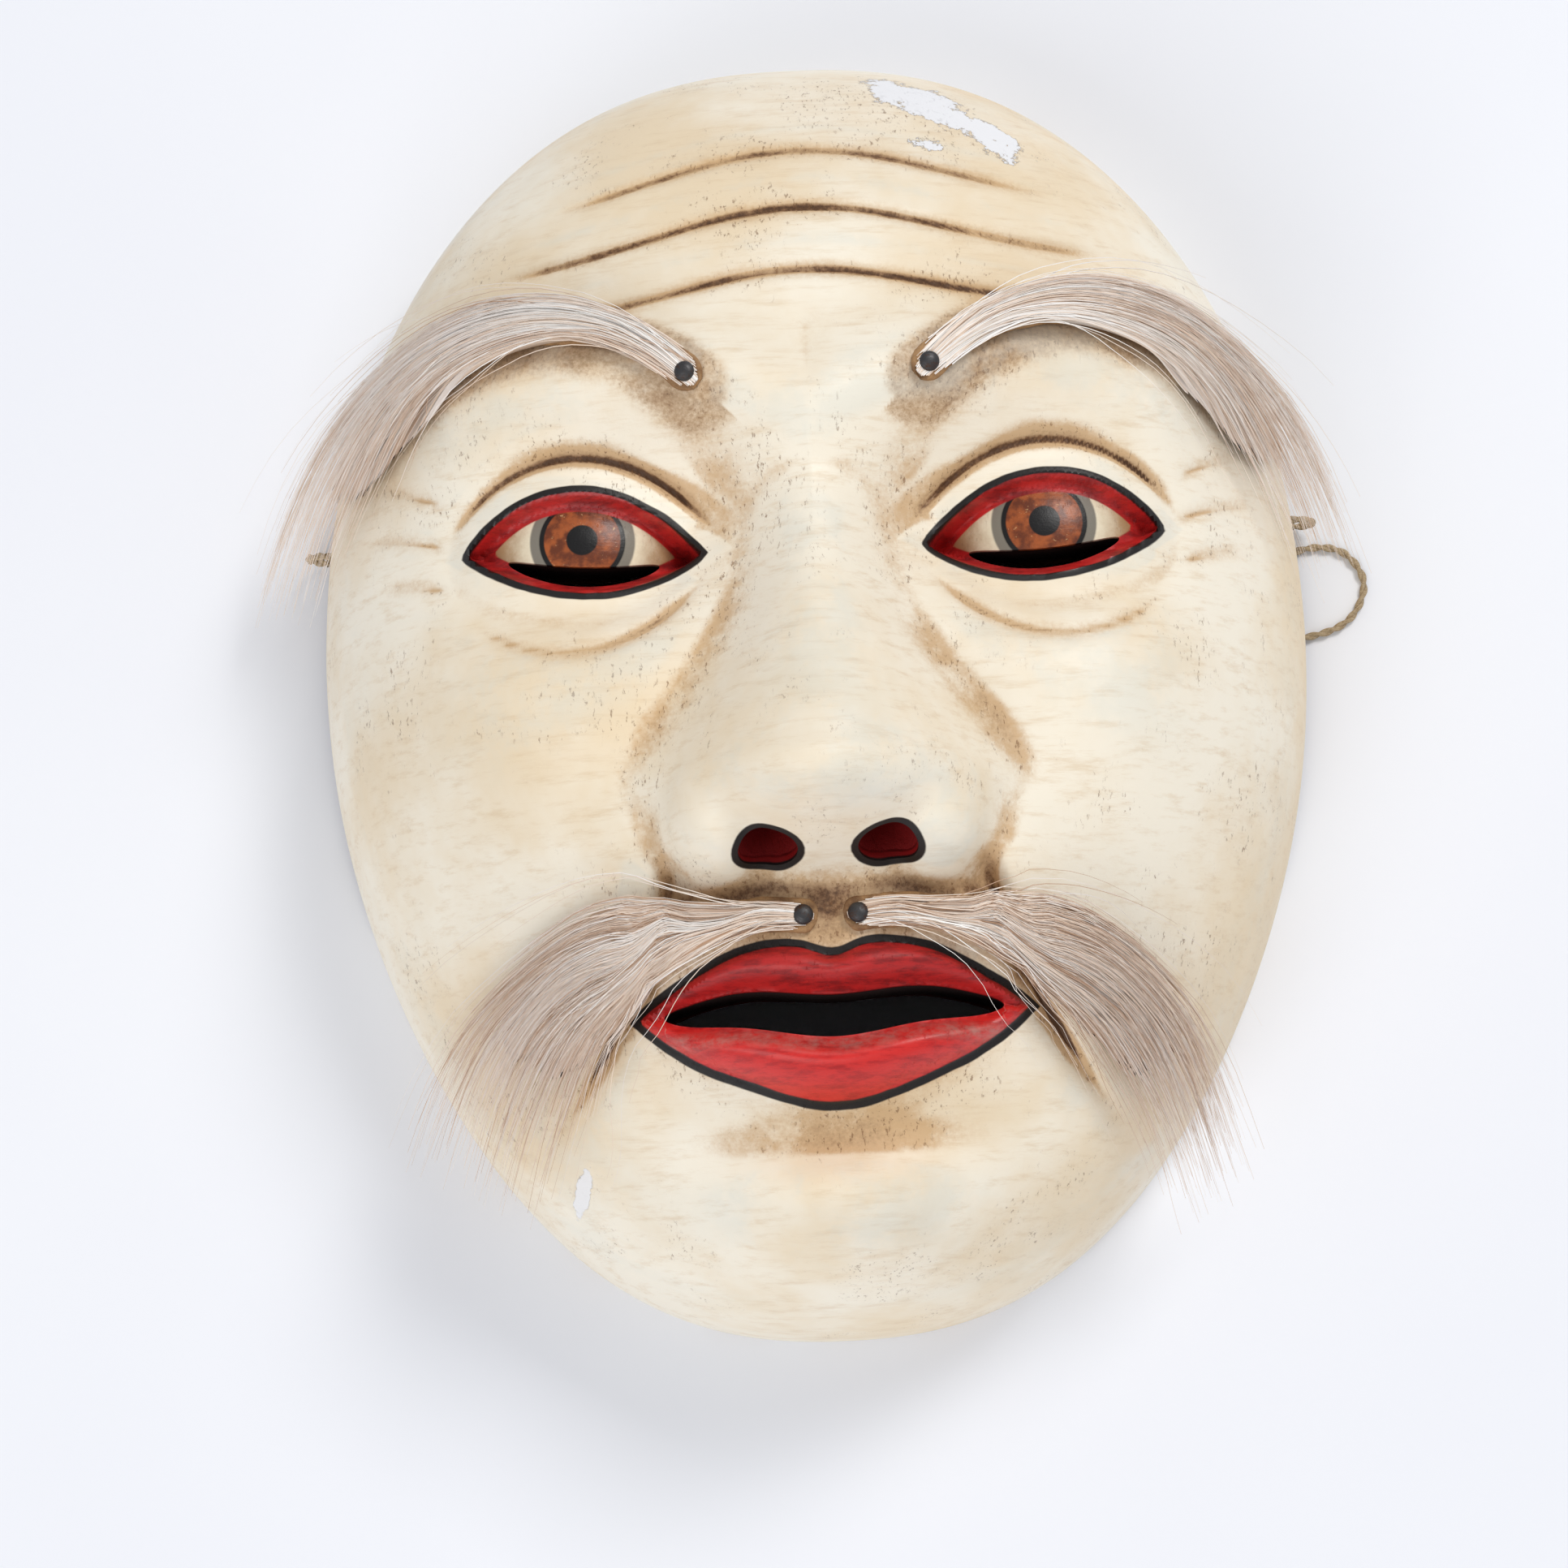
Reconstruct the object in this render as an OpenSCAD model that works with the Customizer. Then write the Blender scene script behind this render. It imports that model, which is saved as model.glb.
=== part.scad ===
// Carved wooden face mask with goat-hair eyebrows and moustache, and a twine to tie it on.
// It lies on its rim at z = 0 and looks up: +X is across the face, +Y runs from chin to forehead.

/* [Shell] */
// Width of the shell across the temples
mask_width = 146; // [136:1:156]
// Height of the shell from chin to forehead
mask_height = 190; // [178:1:204]
// Depth of the shell without the nose
mask_depth = 64; // [60:1:68]
// Thickness of the wood at the rim
wall = 8; // [7:0.5:9]
// Height of the hollow behind the face
hollow_depth = 48; // [44:1:49]
// Height of the arched gap under each side of the rim
rim_arch = 3; // [2.6:0.1:3.6]

/* [Openings] */
// Height of the gap between the lips
mouth_gap = 5.6; // [5:0.1:6.4]
// Height of the slit under each eyeball
eye_slit = 2.8; // [2.4:0.1:3.4]
// Diameter of the nostril channels
nostril_d = 8; // [6:0.5:9]
// Diameter of the hole in each side that the twine is tied through
cord_hole_d = 4; // [3.4:0.1:4.6]

/* [Hair] */
// Thickness of an eyebrow tuft
brow_depth = 4.5; // [3:0.5:6]
// Width of an eyebrow tuft
brow_width = 11; // [8:0.5:13]
// Thickness of a moustache tuft
moustache_depth = 5; // [3:0.5:6.5]
// Width of the moustache tuft on the left, at -X
moustache_width_left = 17; // [12:0.5:19]
// Width of the moustache tuft on the right, at +X
moustache_width_right = 13; // [10:0.5:17]
// Thickness of the hide strips that the hair grows from
hide_thickness = 0.9; // [0.6:0.1:1.2]
// Width of the hide strips
hide_width = 4.6; // [4:0.2:6]

/* [Tacks] */
// Diameter of a tack's head
tack_head_d = 2.8; // [2.2:0.1:3.4]
// Diameter of a tack's shank
tack_shank_d = 1.1; // [0.8:0.1:1.4]
// Length of a tack under its head
tack_length = 8; // [6:0.5:10]

/* [Twine] */
// Diameter of the twine
cord_d = 1.2; // [0.9:0.1:1.3]
// Diameter of the knot at each end of the twine
knot_d = 4.4; // [3.8:0.2:4.6]

/* [Hidden] */

wood = "blanchedalmond";
hair = "tan";
hide = "peru";
iron = "dimgray";
twine = "burlywood";

// The face is drawn on a blank of this size, and scaled to the driving sizes.
blank = [73, 95, 64];
k = [mask_width / 2 / blank.x, mask_height / 2 / blank.y, mask_depth / blank.z];
// Exponent of the rounded blank: 2 is an ellipsoid, more is squarer.
roundness = 2.35;

// Rings from the middle of the face to the rim, rings in the hollow, and points round each ring.
face_rings = 34;
hollow_rings = 14;
ring_points = 88;
// Rings crowd towards the nose by this power.
ring_crowding = 1.2;
// Depth below z = 0 that the rim is made to before it is cut flat.
rim_spare = 2;

eye = [32, 13];
eye_half_width = 16.5;
lid_rise = 8.6;
lid_drop = 6.4;
slit_half_width = 10.5;
lid_bevel = 3.2;
slit_inset = 1.5;
mouth_y = -52.5;
mouth_half_width = 27;
gap_half_width = 23;

// Height of the hole for the twine, and where it is along the face.
cord_hole = [24, 8];
arch_centre_y = 10;
arch_half_length = 45;

// Gap between the paint and the hide, so that the strips clear the wood's facets.
clear = 0.25;
// The tufts leave the wood here, as a share of the way to the rim, and carry on straight.
leave_at = 0.9;
leave_slope = 1.8;
// Middle line of a tuft at +X, as the four points of a curve on the blank.
brow_line = [[15, 34], [32, 51], [61, 48], [74, 15]];
moustache_line = [[2.2, -40.5], [20, -38], [38, -42], [52, -72]];
// Share of the tuft's line that the hide covers, where its tack is, and where the hair starts.
brow_hide_end = 0.55;
moustache_hide_end = 0.35;
tack_at = 0.03;
hair_from = 0.06;

// The twine's route from the left knot, over what the mask lies on, to the loop at +X and the right knot.
lie = 0.7;
route = [[-56.4, 22.3, 3.9], [-56.6, 17, 1.8], [-53.5, 10, lie], [-46, 3, lie], [-34, 3, lie],
    [-27, 13, lie], [-29, 27, lie], [-24, 39, lie], [-12, 42, lie], [-3, 34, lie], [-2, 22, lie],
    [-6, 10, lie], [-3, -3, lie], [8, -10, lie], [19, -3, lie], [27, 8, lie], [38, 13, lie],
    [50, 9, lie], [62, 6.5, lie], [74, 7, lie], [80.5, 9.5, lie], [83, 15, lie], [80, 19.8, lie],
    [74, 20.4, lie], [67, 17, lie], [60.5, 12.2, lie], [55, 14, 1.1], [56.4, 22.3, 3.9]];
cord_sides = 8;
route_steps = 3;
// The loop tied through each hole: middle of its inner and outer legs, its lower leg and its bends.
loop_inner = 60.6;
loop_outer = 75.2;
knot_gap = 0.05;
loop_low = 1.1;
loop_bend = 3;

// ---- shapes of curves

function clamp(t) = max(0, min(1, t));
function ease(a, b, t) = let (u = clamp((t - a) / (b - a))) u * u * (3 - 2 * u);
function soft_max(a, b, r) = let (h = max(r - abs(a - b), 0) / r) max(a, b) + h * h * r / 4;
function soft_min(a, b, r) = -soft_max(-a, -b, r);
function ridge(d, w) = exp(-pow(d / w, 2));
function bow(x, w, p = 2) = max(0, 1 - pow(abs(x / w), p));
function bell(x, y, c, r, turn = 0, edge = 2) =
    let (dx = x - c.x, dy = y - c.y,
         u = (dx * cos(turn) + dy * sin(turn)) / r.x,
         v = (dy * cos(turn) - dx * sin(turn)) / r.y)
    exp(-pow(u * u + v * v, edge / 2));
function unit(v) = v / norm(v);
function signed_pow(t, p) = sign(t) * pow(abs(t), p);

// ---- the blank: a rounded dome, narrower at the chin

function half_width(y) =
    let (t = y / blank.y)
    blank.x * (1 - 0.13 * ease(0.1, -1, t) - 0.05 * ease(0.25, 1, t));
function reach(x, y, a, b) = pow(pow(abs(x) / a, roundness) + pow(abs(y) / b, roundness), 1 / roundness);
function cap(s) = pow(max(0, 1 - pow(min(s, 1), roundness)), 1 / roundness);
function dome(x, y) = blank.z * cap(reach(x, y, half_width(y), blank.y));

// ---- the face, as heights over the rim; ax is the distance from the middle line

function broad_forms(ax, y) =
    4.6 * bell(ax, y, [42, -8], [18, 15], -30)
    + 4.4 * ridge(y - 31 - 7 * bow(ax - 31, 31), 8) * ease(66, 48, ax)
    + 1.6 * bell(ax, y, [0, 64], [34, 20])
    - 2.5 * bell(ax, y, [60, 30], [9, 20])
    - 3.2 * bell(ax, y, [50, -42], [12, 20], -20)
    + 7.0 * bell(ax, y, [0, -50], [27, 19], 0, 2.4)
    + 10.5 * bell(ax, y, [0, -80], [19, 10.5], 0, 2.4)
    + 3.5 * bell(ax, y, [38, -68], [16, 12], 35)
    - 3.0 * bell(ax, y, [0, -69], [17, 4.5])
    - 10.0 * bell(ax, y, [29, 14], [19, 13], -4, 2.4)
    - 2.5 * bell(ax, y, [14, 20], [7, 10]);

function nose(ax, y) =
    let (bridge = 58.5 + 0.6 * (27 - y) - 0.09 * pow(max(y - 17, 0), 2),
         under = 66.5 + 2.1 * (y + 34.5),
         crest = soft_min(bridge, under, 10),
         side = crest - 7 * pow(ax / (7.2 + 5.3 * ease(12, -20, y)), 1.9),
         u = norm([(ax - 14.2) / 8.2, (y + 26) / 9.4]),
         wing = 61.5 + 14 * (u < 0.9 ? sqrt(1 - u * u) : 0.436 - 2.065 * (u - 0.9)))
    soft_max(side, wing, 4.5);

function cheek_fold(ax, y) =
    let (t = max(-0.3, min(1.3, (-21 - y) / 46)),
         d = ax - 20.5 - 20 * t + 4 * sin(180 * clamp(t)),
         along = ease(-14, -27, y) * ease(-72, -50, y))
    along * (2.4 * ridge(max(d - 1.5, 0), 9) * ease(-2.5, 1.5, d) - 1.3 * ridge(d + 2.2, 2.6));

function lid_line(ax, rise, p) =
    eye.y + 0.06 * (ax - eye.x) + rise * pow(bow(ax - eye.x, eye_half_width), p);
function lid_top(ax) = lid_line(ax, lid_rise, 0.85);
function lid_low(ax) = lid_line(ax, -lid_drop, 0.9);

function with_eyes(z, ax, y) =
    let (dx = ax - eye.x,
         r = norm([dx, (y - eye.y - 0.6) * 1.08]),
         ball = 38.4 + sqrt(max(pow(16.8, 2) - r * r, 0)),
         lid = 38.4 + (r < 19.5 ? sqrt(pow(19.6, 2) - r * r) : 2 * (19.5 - r)),
         in_opening = abs(dx) < eye_half_width ? min(lid_top(ax) - y, y - lid_low(ax)) : -1,
         open = ease(0, lid_bevel, in_opening),
         crease = y - eye.y - 0.06 * dx - (lid_rise + 4.8) * pow(bow(dx, 20.5), 0.8),
         bag = y - eye.y + 0.1 * dx + (lid_drop + 8.5) * pow(bow(dx, 21), 0.8))
    soft_max(z, lid, 5) * (1 - open) + ball * open
        - 1.1 * ridge(crease, 1.1) * ease(19, 14, abs(dx))
        - 0.7 * ridge(bag, 1.5) * ease(18, 10, abs(dx));

function gap_middle(ax) = mouth_y - 0.9 * ridge(ax, 8) + 0.5 * ridge(ax - 13, 7);
function gap_half(ax) = mouth_gap / 2 * sqrt(bow(ax, gap_half_width));
function lip_top(ax) = gap_middle(ax) + 9.6 * pow(bow(ax, mouth_half_width, 1.8), 0.9) - 1.6 * ridge(ax, 3.4);
function lip_low(ax) = gap_middle(ax) - 11.5 * pow(bow(ax, mouth_half_width, 2.2), 0.95);

function with_lips(z, ax, y) =
    let (middle = gap_middle(ax), half = gap_half(ax), top = lip_top(ax), low = lip_low(ax),
         up = clamp((y - middle - half) / max(top - middle - half, 0.1)),
         down = clamp((middle - half - y) / max(middle - half - low, 0.1)),
         on_lip = ax < mouth_half_width ? ease(0, 1.4, min(top - y, y - low)) : 0,
         full = sqrt(bow(ax, mouth_half_width)),
         swell = y > middle ? 3 * sin(27 + 153 * up) : 4.2 * sin(27 + 153 * down),
         away = max(abs(y - middle) - half, 0))
    z + on_lip * (swell + 0.2) * full - 2.6 * ridge(away, 2) * ease(mouth_half_width, 18, ax);

// Three carved lines across the forehead: height, rise, half length and depth.
forehead_lines = [[50, 5, 40, 0.9], [60, 6, 46, 0.9], [70, 7, 38, 0.8]];
function line_depth(x, y, line) =
    line[3] * ridge(y - line[0] + line[1] * (1 - cos(2 * x)) - 1.2 * cos(6.4 * x), 0.9)
        * ease(line[2], line[2] - 12, abs(x));
function sum(list, i = 0) = i < len(list) ? list[i] + sum(list, i + 1) : 0;

function face(x, y) =
    let (ax = abs(x), base = dome(x, y),
         flesh = base + broad_forms(ax, y) * ease(0, 26, base) + cheek_fold(ax, y),
         nosed = soft_max(flesh, nose(ax, y), 7) - 1.3 * bell(x, y, [0, -39], [2.6, 4.5]),
         seen = with_lips(with_eyes(nosed, ax, y), ax, y))
    seen - sum([for (line = forehead_lines) line_depth(x, y, line)]);

// Surface of the hollow, with room behind the nose and the mouth.
function hollow(s, x, y) =
    hollow_depth / k.z * cap(s)
        + 15 * bell(x, y, [0, -19], [12, 20])
        + 9 * bell(x, y, [0, -50], [20, 13]);

// ---- places on the face, in real sizes

function scaled(p) = [p.x * k.x, p.y * k.y, p.z * k.z];
// Where hair lies: on the face, and past leave_at straight on with the same swelling over the blank.
function drape(x, y) =
    let (s = reach(x, y, half_width(y), blank.y), q = min(1, leave_at / s))
    face(q * x, q * y) - leave_slope * blank.x * max(0, s - leave_at);
function on_drape(p) = scaled([p.x, p.y, drape(p.x, p.y)]);
function normal_at(p) =
    let (e = 0.6)
    unit(cross(on_drape(p + [e, 0]) - on_drape(p - [e, 0]), on_drape(p + [0, e]) - on_drape(p - [0, e])));
function lifted(p, h) = on_drape(p) + h * normal_at(p);
function bezier(c, t) =
    pow(1 - t, 3) * c[0] + 3 * t * pow(1 - t, 2) * c[1] + 3 * t * t * (1 - t) * c[2] + pow(t, 3) * c[3];
function bezier_side(c, t) =
    let (d = bezier(c, t + 0.01) - bezier(c, t - 0.01)) unit([-d.y, d.x]);

// ---- solids from rows of points

// Closes rows of points into a solid: each row is a closed ring, and the end rings are capped.
function side_faces(rows, n) =
    [for (i = [0:rows - 2], j = [0:n - 1])
        let (a = i * n + j, b = i * n + (j + 1) % n) each [[a, b, b + n], [a, b + n, a + n]]];
function ring_faces(rows, n) = concat(
    [[for (j = [n - 1:-1:0]) j]], side_faces(rows, n), [[for (j = [0:n - 1]) (rows - 1) * n + j]]);
// The same for rings that run out along the bottom and back along the top.
function pad_faces(rows, n) = concat(
    [for (k = [0:n / 2 - 2]) each [[n - 1 - k, n - 2 - k, k + 1], [n - 1 - k, k + 1, k]]],
    side_faces(rows, n),
    [for (k = [0:n / 2 - 2]) let (z = (rows - 1) * n)
        each [[z + k, z + k + 1, z + n - 2 - k], [z + k, z + n - 2 - k, z + n - 1 - k]]]);
function closed_faces(rows, n) =
    [for (i = [0:rows - 1], j = [0:n - 1])
        let (a = i * n + j, b = i * n + (j + 1) % n, c = ((i + 1) % rows) * n + j,
             d = ((i + 1) % rows) * n + (j + 1) % n) each [[a, b, d], [a, d, c]]];

// A ring round each point of a line; flat is a direction that the line never follows.
function tube_points(line, r, sides, flat, closed = false) =
    let (n = len(line))
    [for (i = [0:n - 1])
        let (before = closed ? line[(i + n - 1) % n] : line[max(i - 1, 0)],
             after = closed ? line[(i + 1) % n] : line[min(i + 1, n - 1)],
             along = unit(after - before), side = unit(cross(along, flat)), up = cross(side, along))
        for (j = [0:sides - 1])
            line[i] + r * (cos(360 * (j + 0.5) / sides) * side + sin(360 * (j + 0.5) / sides) * up)];

// A smooth line through every point, with a number of steps between neighbours.
function smooth(p, steps) =
    let (n = len(p))
    [for (i = [0:n - 2], q = [0:steps - 1])
        let (t = q / steps, a = p[max(i - 1, 0)], b = p[i], c = p[i + 1], d = p[min(i + 2, n - 1)])
        b + t * (c - a) / 2 + t * t * (2 * a - 5 * b + 4 * c - d) / 2 + t * t * t * (3 * (b - c) + d - a) / 2,
     p[n - 1]];

// ---- the shell

function ring_angle(i, rings) = 90 * pow(i / rings, ring_crowding);
function ring_xy(i, j, rings, a, b) =
    let (s = pow(sin(ring_angle(i, rings)), 2 / roundness), t = 360 * j / ring_points,
         y = b * s * signed_pow(sin(t), 2 / roundness),
         w = half_width(y * blank.y / b) - (blank.x - a))
    [w * s * signed_pow(cos(t), 2 / roundness), y];

module blank_shell() {
    n = ring_points;
    a = blank.x - wall / k.x;
    b = blank.y - wall / k.y;
    outer = [for (i = [face_rings:-1:1], j = [0:n - 1])
        let (p = ring_xy(i, j, face_rings, blank.x, blank.y)) scaled([p.x, p.y, face(p.x, p.y)])];
    inner = [for (i = [1:hollow_rings], j = [0:n - 1])
        let (p = ring_xy(i, j, hollow_rings, a, b), s = pow(sin(ring_angle(i, hollow_rings)), 2 / roundness))
        scaled([p.x, p.y, hollow(s, p.x, p.y)])];
    foot = [for (j = [0:n - 1]) [outer[j].x, outer[j].y, -rim_spare]];
    last = (hollow_rings - 1) * n;
    inner_foot = [for (j = [0:n - 1]) [inner[last + j].x, inner[last + j].y, -rim_spare]];
    tips = [scaled([0, 0, face(0, 0)]), scaled([0, 0, hollow(0, 0, 0)])];
    points = concat(foot, outer, inner, inner_foot, tips);
    rows = face_rings + hollow_rings + 2;
    tip = rows * n;
    gap = face_rings;
    faces = concat(
        [for (i = [0:rows - 1], j = [0:n - 1]) if (i != gap)
            let (p = i * n + j, q = i * n + (j + 1) % n,
                 r = ((i + 1) % rows) * n + j, s = ((i + 1) % rows) * n + (j + 1) % n)
            each norm(points[p] - points[s]) < norm(points[q] - points[r])
                ? [[p, s, q], [p, r, s]] : [[p, r, q], [q, r, s]]],
        [for (j = [0:n - 1]) [gap * n + j, tip, gap * n + (j + 1) % n]],
        [for (j = [0:n - 1]) [(gap + 1) * n + j, (gap + 1) * n + (j + 1) % n, tip + 1]]);
    polyhedron(points, faces);
}

module mouth_cut() {
    steps = 12;
    top = [for (i = [-steps:steps]) let (x = gap_half_width * i / steps)
        [x * k.x, (gap_middle(abs(x)) + gap_half(x)) * k.y]];
    low = [for (i = [steps - 1:-1:1 - steps]) let (x = gap_half_width * i / steps)
        [x * k.x, (gap_middle(abs(x)) - gap_half(x)) * k.y]];
    translate([0, 0, mask_depth / 2]) linear_extrude(mask_depth) polygon(concat(top, low));
}

module eye_cut(side) {
    steps = 8;
    edge = function (i, half)
        let (dx = slit_half_width * i / steps, h = eye_slit / 2 * sqrt(bow(dx, slit_half_width)))
        [side * (eye.x + dx) * k.x, (lid_low(eye.x + dx) + slit_inset + eye_slit / 2 + half * h) * k.y];
    translate([0, 0, mask_depth / 3]) linear_extrude(mask_depth)
        polygon([for (i = [-steps:steps]) edge(i, 1), for (i = [steps - 1:-1:1 - steps]) edge(i, -1)]);
}

module rod(from, to, d) {
    v = to - from;
    translate(from) rotate([0, acos(v.z / norm(v)), atan2(v.y, v.x)]) cylinder(h = norm(v), d = d, $fn = 48);
}

module nostril_cut(side) {
    rod(scaled([side * 8.6, -46, 81]), scaled([side * 7, -8, 54]), nostril_d);
}

module arch_cut() {
    r = (arch_half_length * arch_half_length + rim_arch * rim_arch) / (2 * rim_arch);
    translate([0, arch_centre_y, rim_arch - r]) rotate([0, 90, 0])
        cylinder(h = 2 * mask_width, r = r, center = true, $fn = 360);
}

module cord_hole_cut(side) {
    x = mask_width / 2;
    rod([side * (x - 2 * wall), cord_hole.x, cord_hole[1]],
        [side * (x + wall), cord_hole.x, cord_hole[1]], cord_hole_d);
}

module tack_cut(line, side) {
    slack = 0.1;
    p = tack_foot(line, side);
    n = tack_direction(line, side);
    rod(p - (tack_length + slack) * n, p + 3 * n, tack_shank_d + slack);
}

module mask_shell() color(wood) difference() {
    blank_shell();
    translate([-mask_width, -mask_height, -4 * rim_spare])
        cube([2 * mask_width, 2 * mask_height, 4 * rim_spare]);
    arch_cut();
    mouth_cut();
    for (side = [-1, 1]) {
        eye_cut(side);
        nostril_cut(side);
        cord_hole_cut(side);
        tack_cut(brow_line, side);
        tack_cut(moustache_line, side);
    }
}

// ---- hair, hide and tacks

// Half width of a tuft along its line, as a share: narrow at the root, full, then drawn in.
function fullness(t) = (0.4 + 0.6 * ease(0.05, 0.6, t)) * (1 - 0.3 * ease(0.75, 1, t));
function mirrored(p, side) = [side * p.x, p.y, p.z];

// A pad on the drape along a line, from low to low + depth over it, thinner at its edges.
module pad(line, side, from, to, width, low, depth, shaped) {
    along = 16;
    across = 6;
    edge_share = 0.25;
    rows = [for (i = [0:along])
        let (t = from + (to - from) * i / along, c = bezier(line, t), n = bezier_side(line, t),
             w = width / 2 * (shaped ? fullness(t) : 1),
             thin = shaped ? min(1, 0.5 + 3 * (t - from)) * (1 - 0.6 * ease(0.7, 1, t)) : 1,
             h = function (v) depth * (shaped ? thin * (edge_share + (1 - edge_share) * sqrt(1 - v * v)) : 1))
        each concat(
            [for (j = [0:across]) let (v = 2 * j / across - 1) mirrored(lifted(c + v * w * n, low), side)],
            [for (j = [across:-1:0]) let (v = 2 * j / across - 1)
                mirrored(lifted(c + v * w * n, low + h(v)), side)])];
    faces = pad_faces(along + 1, 2 * (across + 1));
    polyhedron(rows, side > 0 ? [for (f = faces) [for (i = [len(f) - 1:-1:0]) f[i]]] : faces);
}

function tack_foot(line, side) = mirrored(on_drape(bezier(line, tack_at)), side);
function tack_direction(line, side) = mirrored(normal_at(bezier(line, tack_at)), side);

module tack(line, side) {
    head_r = tack_head_d / 2;
    head_h = tack_head_d * 0.3;
    tip = 1.6;
    seat = clear + hide_thickness + 0.15;
    v = tack_direction(line, side);
    translate(tack_foot(line, side) + seat * v) rotate([0, acos(v.z), atan2(v.y, v.x)])
        rotate_extrude($fn = 48) polygon(concat(
            [[0, seat - tack_length], [tack_shank_d / 2, seat - tack_length + tip],
             [tack_shank_d / 2, 0], [head_r, 0]],
            [for (a = [15:15:75]) [head_r * cos(a), head_h * sin(a)]], [[0, head_h]]));
}

module hide_strip(line, side, end) color(hide) difference() {
    pad(line, side, 0, end, hide_width, clear, hide_thickness, false);
    tack_cut(line, side);
}

module hair_tuft(line, side, width, depth) color(hair)
    pad(line, side, hair_from, 1, width, clear + hide_thickness + 0.1, depth, true);

module brow_hide(side) hide_strip(brow_line, side, brow_hide_end);
module brow_hair(side) hair_tuft(brow_line, side, brow_width, brow_depth);
module brow_tack(side) color(iron) tack(brow_line, side);
module moustache_hide(side) hide_strip(moustache_line, side, moustache_hide_end);
module moustache_hair(side)
    hair_tuft(moustache_line, side, side < 0 ? moustache_width_left : moustache_width_right, moustache_depth);
module moustache_tack(side) color(iron) tack(moustache_line, side);

// ---- the twine

module hanging_cord() color(twine) {
    line = smooth(route, route_steps);
    polyhedron(tube_points(line, cord_d / 2, cord_sides, [0, 0, 1]), ring_faces(len(line), cord_sides));
}

// The loop tied through a hole and under the rim, with its knot inside the mask.
module cord_knot(side) color(twine) {
    corners = [[loop_inner, loop_low], [loop_outer, loop_low],
        [loop_outer, cord_hole[1]], [loop_inner, cord_hole[1]]];
    inward = [[1, 1], [-1, 1], [-1, -1], [1, -1]];
    bend_steps = 4;
    line = [for (i = [0:3], q = [0:bend_steps])
        let (c = corners[i] + loop_bend * inward[i], a = 180 + 90 * i + 90 * q / bend_steps)
        [side * (c.x + loop_bend * cos(a)), cord_hole.x, c.y + loop_bend * sin(a)]];
    faces = closed_faces(len(line), cord_sides);
    polyhedron(tube_points(line, cord_d / 2, cord_sides, [0, side, 0], true), faces);
    translate([side * (loop_inner - cord_d / 2 - knot_d / 2 - knot_gap), cord_hole.x,
               (loop_low + cord_hole[1]) / 2])
        sphere(d = knot_d, $fn = 48);
}

mask_shell();
brow_hide(-1);  // brow_hide_left
brow_hide(1);  // brow_hide_right
brow_hair(-1);  // brow_hair_left
brow_hair(1);  // brow_hair_right
brow_tack(-1);  // brow_tack_left
brow_tack(1);  // brow_tack_right
moustache_hide(-1);  // moustache_hide_left
moustache_hide(1);  // moustache_hide_right
moustache_hair(-1);  // moustache_hair_left
moustache_hair(1);  // moustache_hair_right
moustache_tack(-1);  // moustache_tack_left
moustache_tack(1);  // moustache_tack_right
hanging_cord();
cord_knot(-1);  // cord_knot_left
cord_knot(1);  // cord_knot_right
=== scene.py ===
"""A carved and painted wooden face mask with goat-hair eyebrows and moustache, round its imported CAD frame."""
import math
import bpy
import numpy as np
from mathutils import Matrix, Vector


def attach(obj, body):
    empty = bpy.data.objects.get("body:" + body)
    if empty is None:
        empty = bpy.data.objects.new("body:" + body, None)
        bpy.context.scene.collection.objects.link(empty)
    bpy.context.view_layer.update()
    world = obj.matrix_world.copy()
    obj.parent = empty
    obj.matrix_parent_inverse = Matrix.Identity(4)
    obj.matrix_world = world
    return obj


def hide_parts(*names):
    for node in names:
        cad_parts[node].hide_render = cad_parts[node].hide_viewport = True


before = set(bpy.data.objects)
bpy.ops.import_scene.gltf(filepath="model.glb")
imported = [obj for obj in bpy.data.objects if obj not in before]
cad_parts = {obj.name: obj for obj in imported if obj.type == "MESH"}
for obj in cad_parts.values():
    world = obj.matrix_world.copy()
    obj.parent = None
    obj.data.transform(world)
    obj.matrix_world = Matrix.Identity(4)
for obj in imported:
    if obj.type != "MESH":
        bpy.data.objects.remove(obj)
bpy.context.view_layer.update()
MM = 0.001

# ---- sizes, in millimetres

BLANK = (73.0, 95.0, 64.0)      # half width, half height and depth of the rounded blank
ROUNDNESS = 2.35
WALL = 8.0
HOLLOW = 48.0
RIM_ARCH, ARCH_Y, ARCH_HALF = 3.0, 10.0, 45.0
EYE_X, EYE_Y, EYE_HALF = 32.0, 13.0, 16.5
LID_RISE, LID_DROP, LID_BEVEL = 8.6, 6.4, 2.3
BALL_Z, BALL_R, LID_R = 38.4, 16.8, 19.6
SLIT_HALF, SLIT_HEIGHT, SLIT_INSET = 10.5, 2.8, 1.5
MOUTH_Y, MOUTH_HALF, GAP_HALF, GAP_HEIGHT = -52.5, 27.0, 23.0, 5.6
NOSTRIL_R = 4.0
CORD_HOLE_Y, CORD_HOLE_Z, CORD_HOLE_R = 24.0, 8.0, 2.0
CORD_D = 1.2

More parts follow.
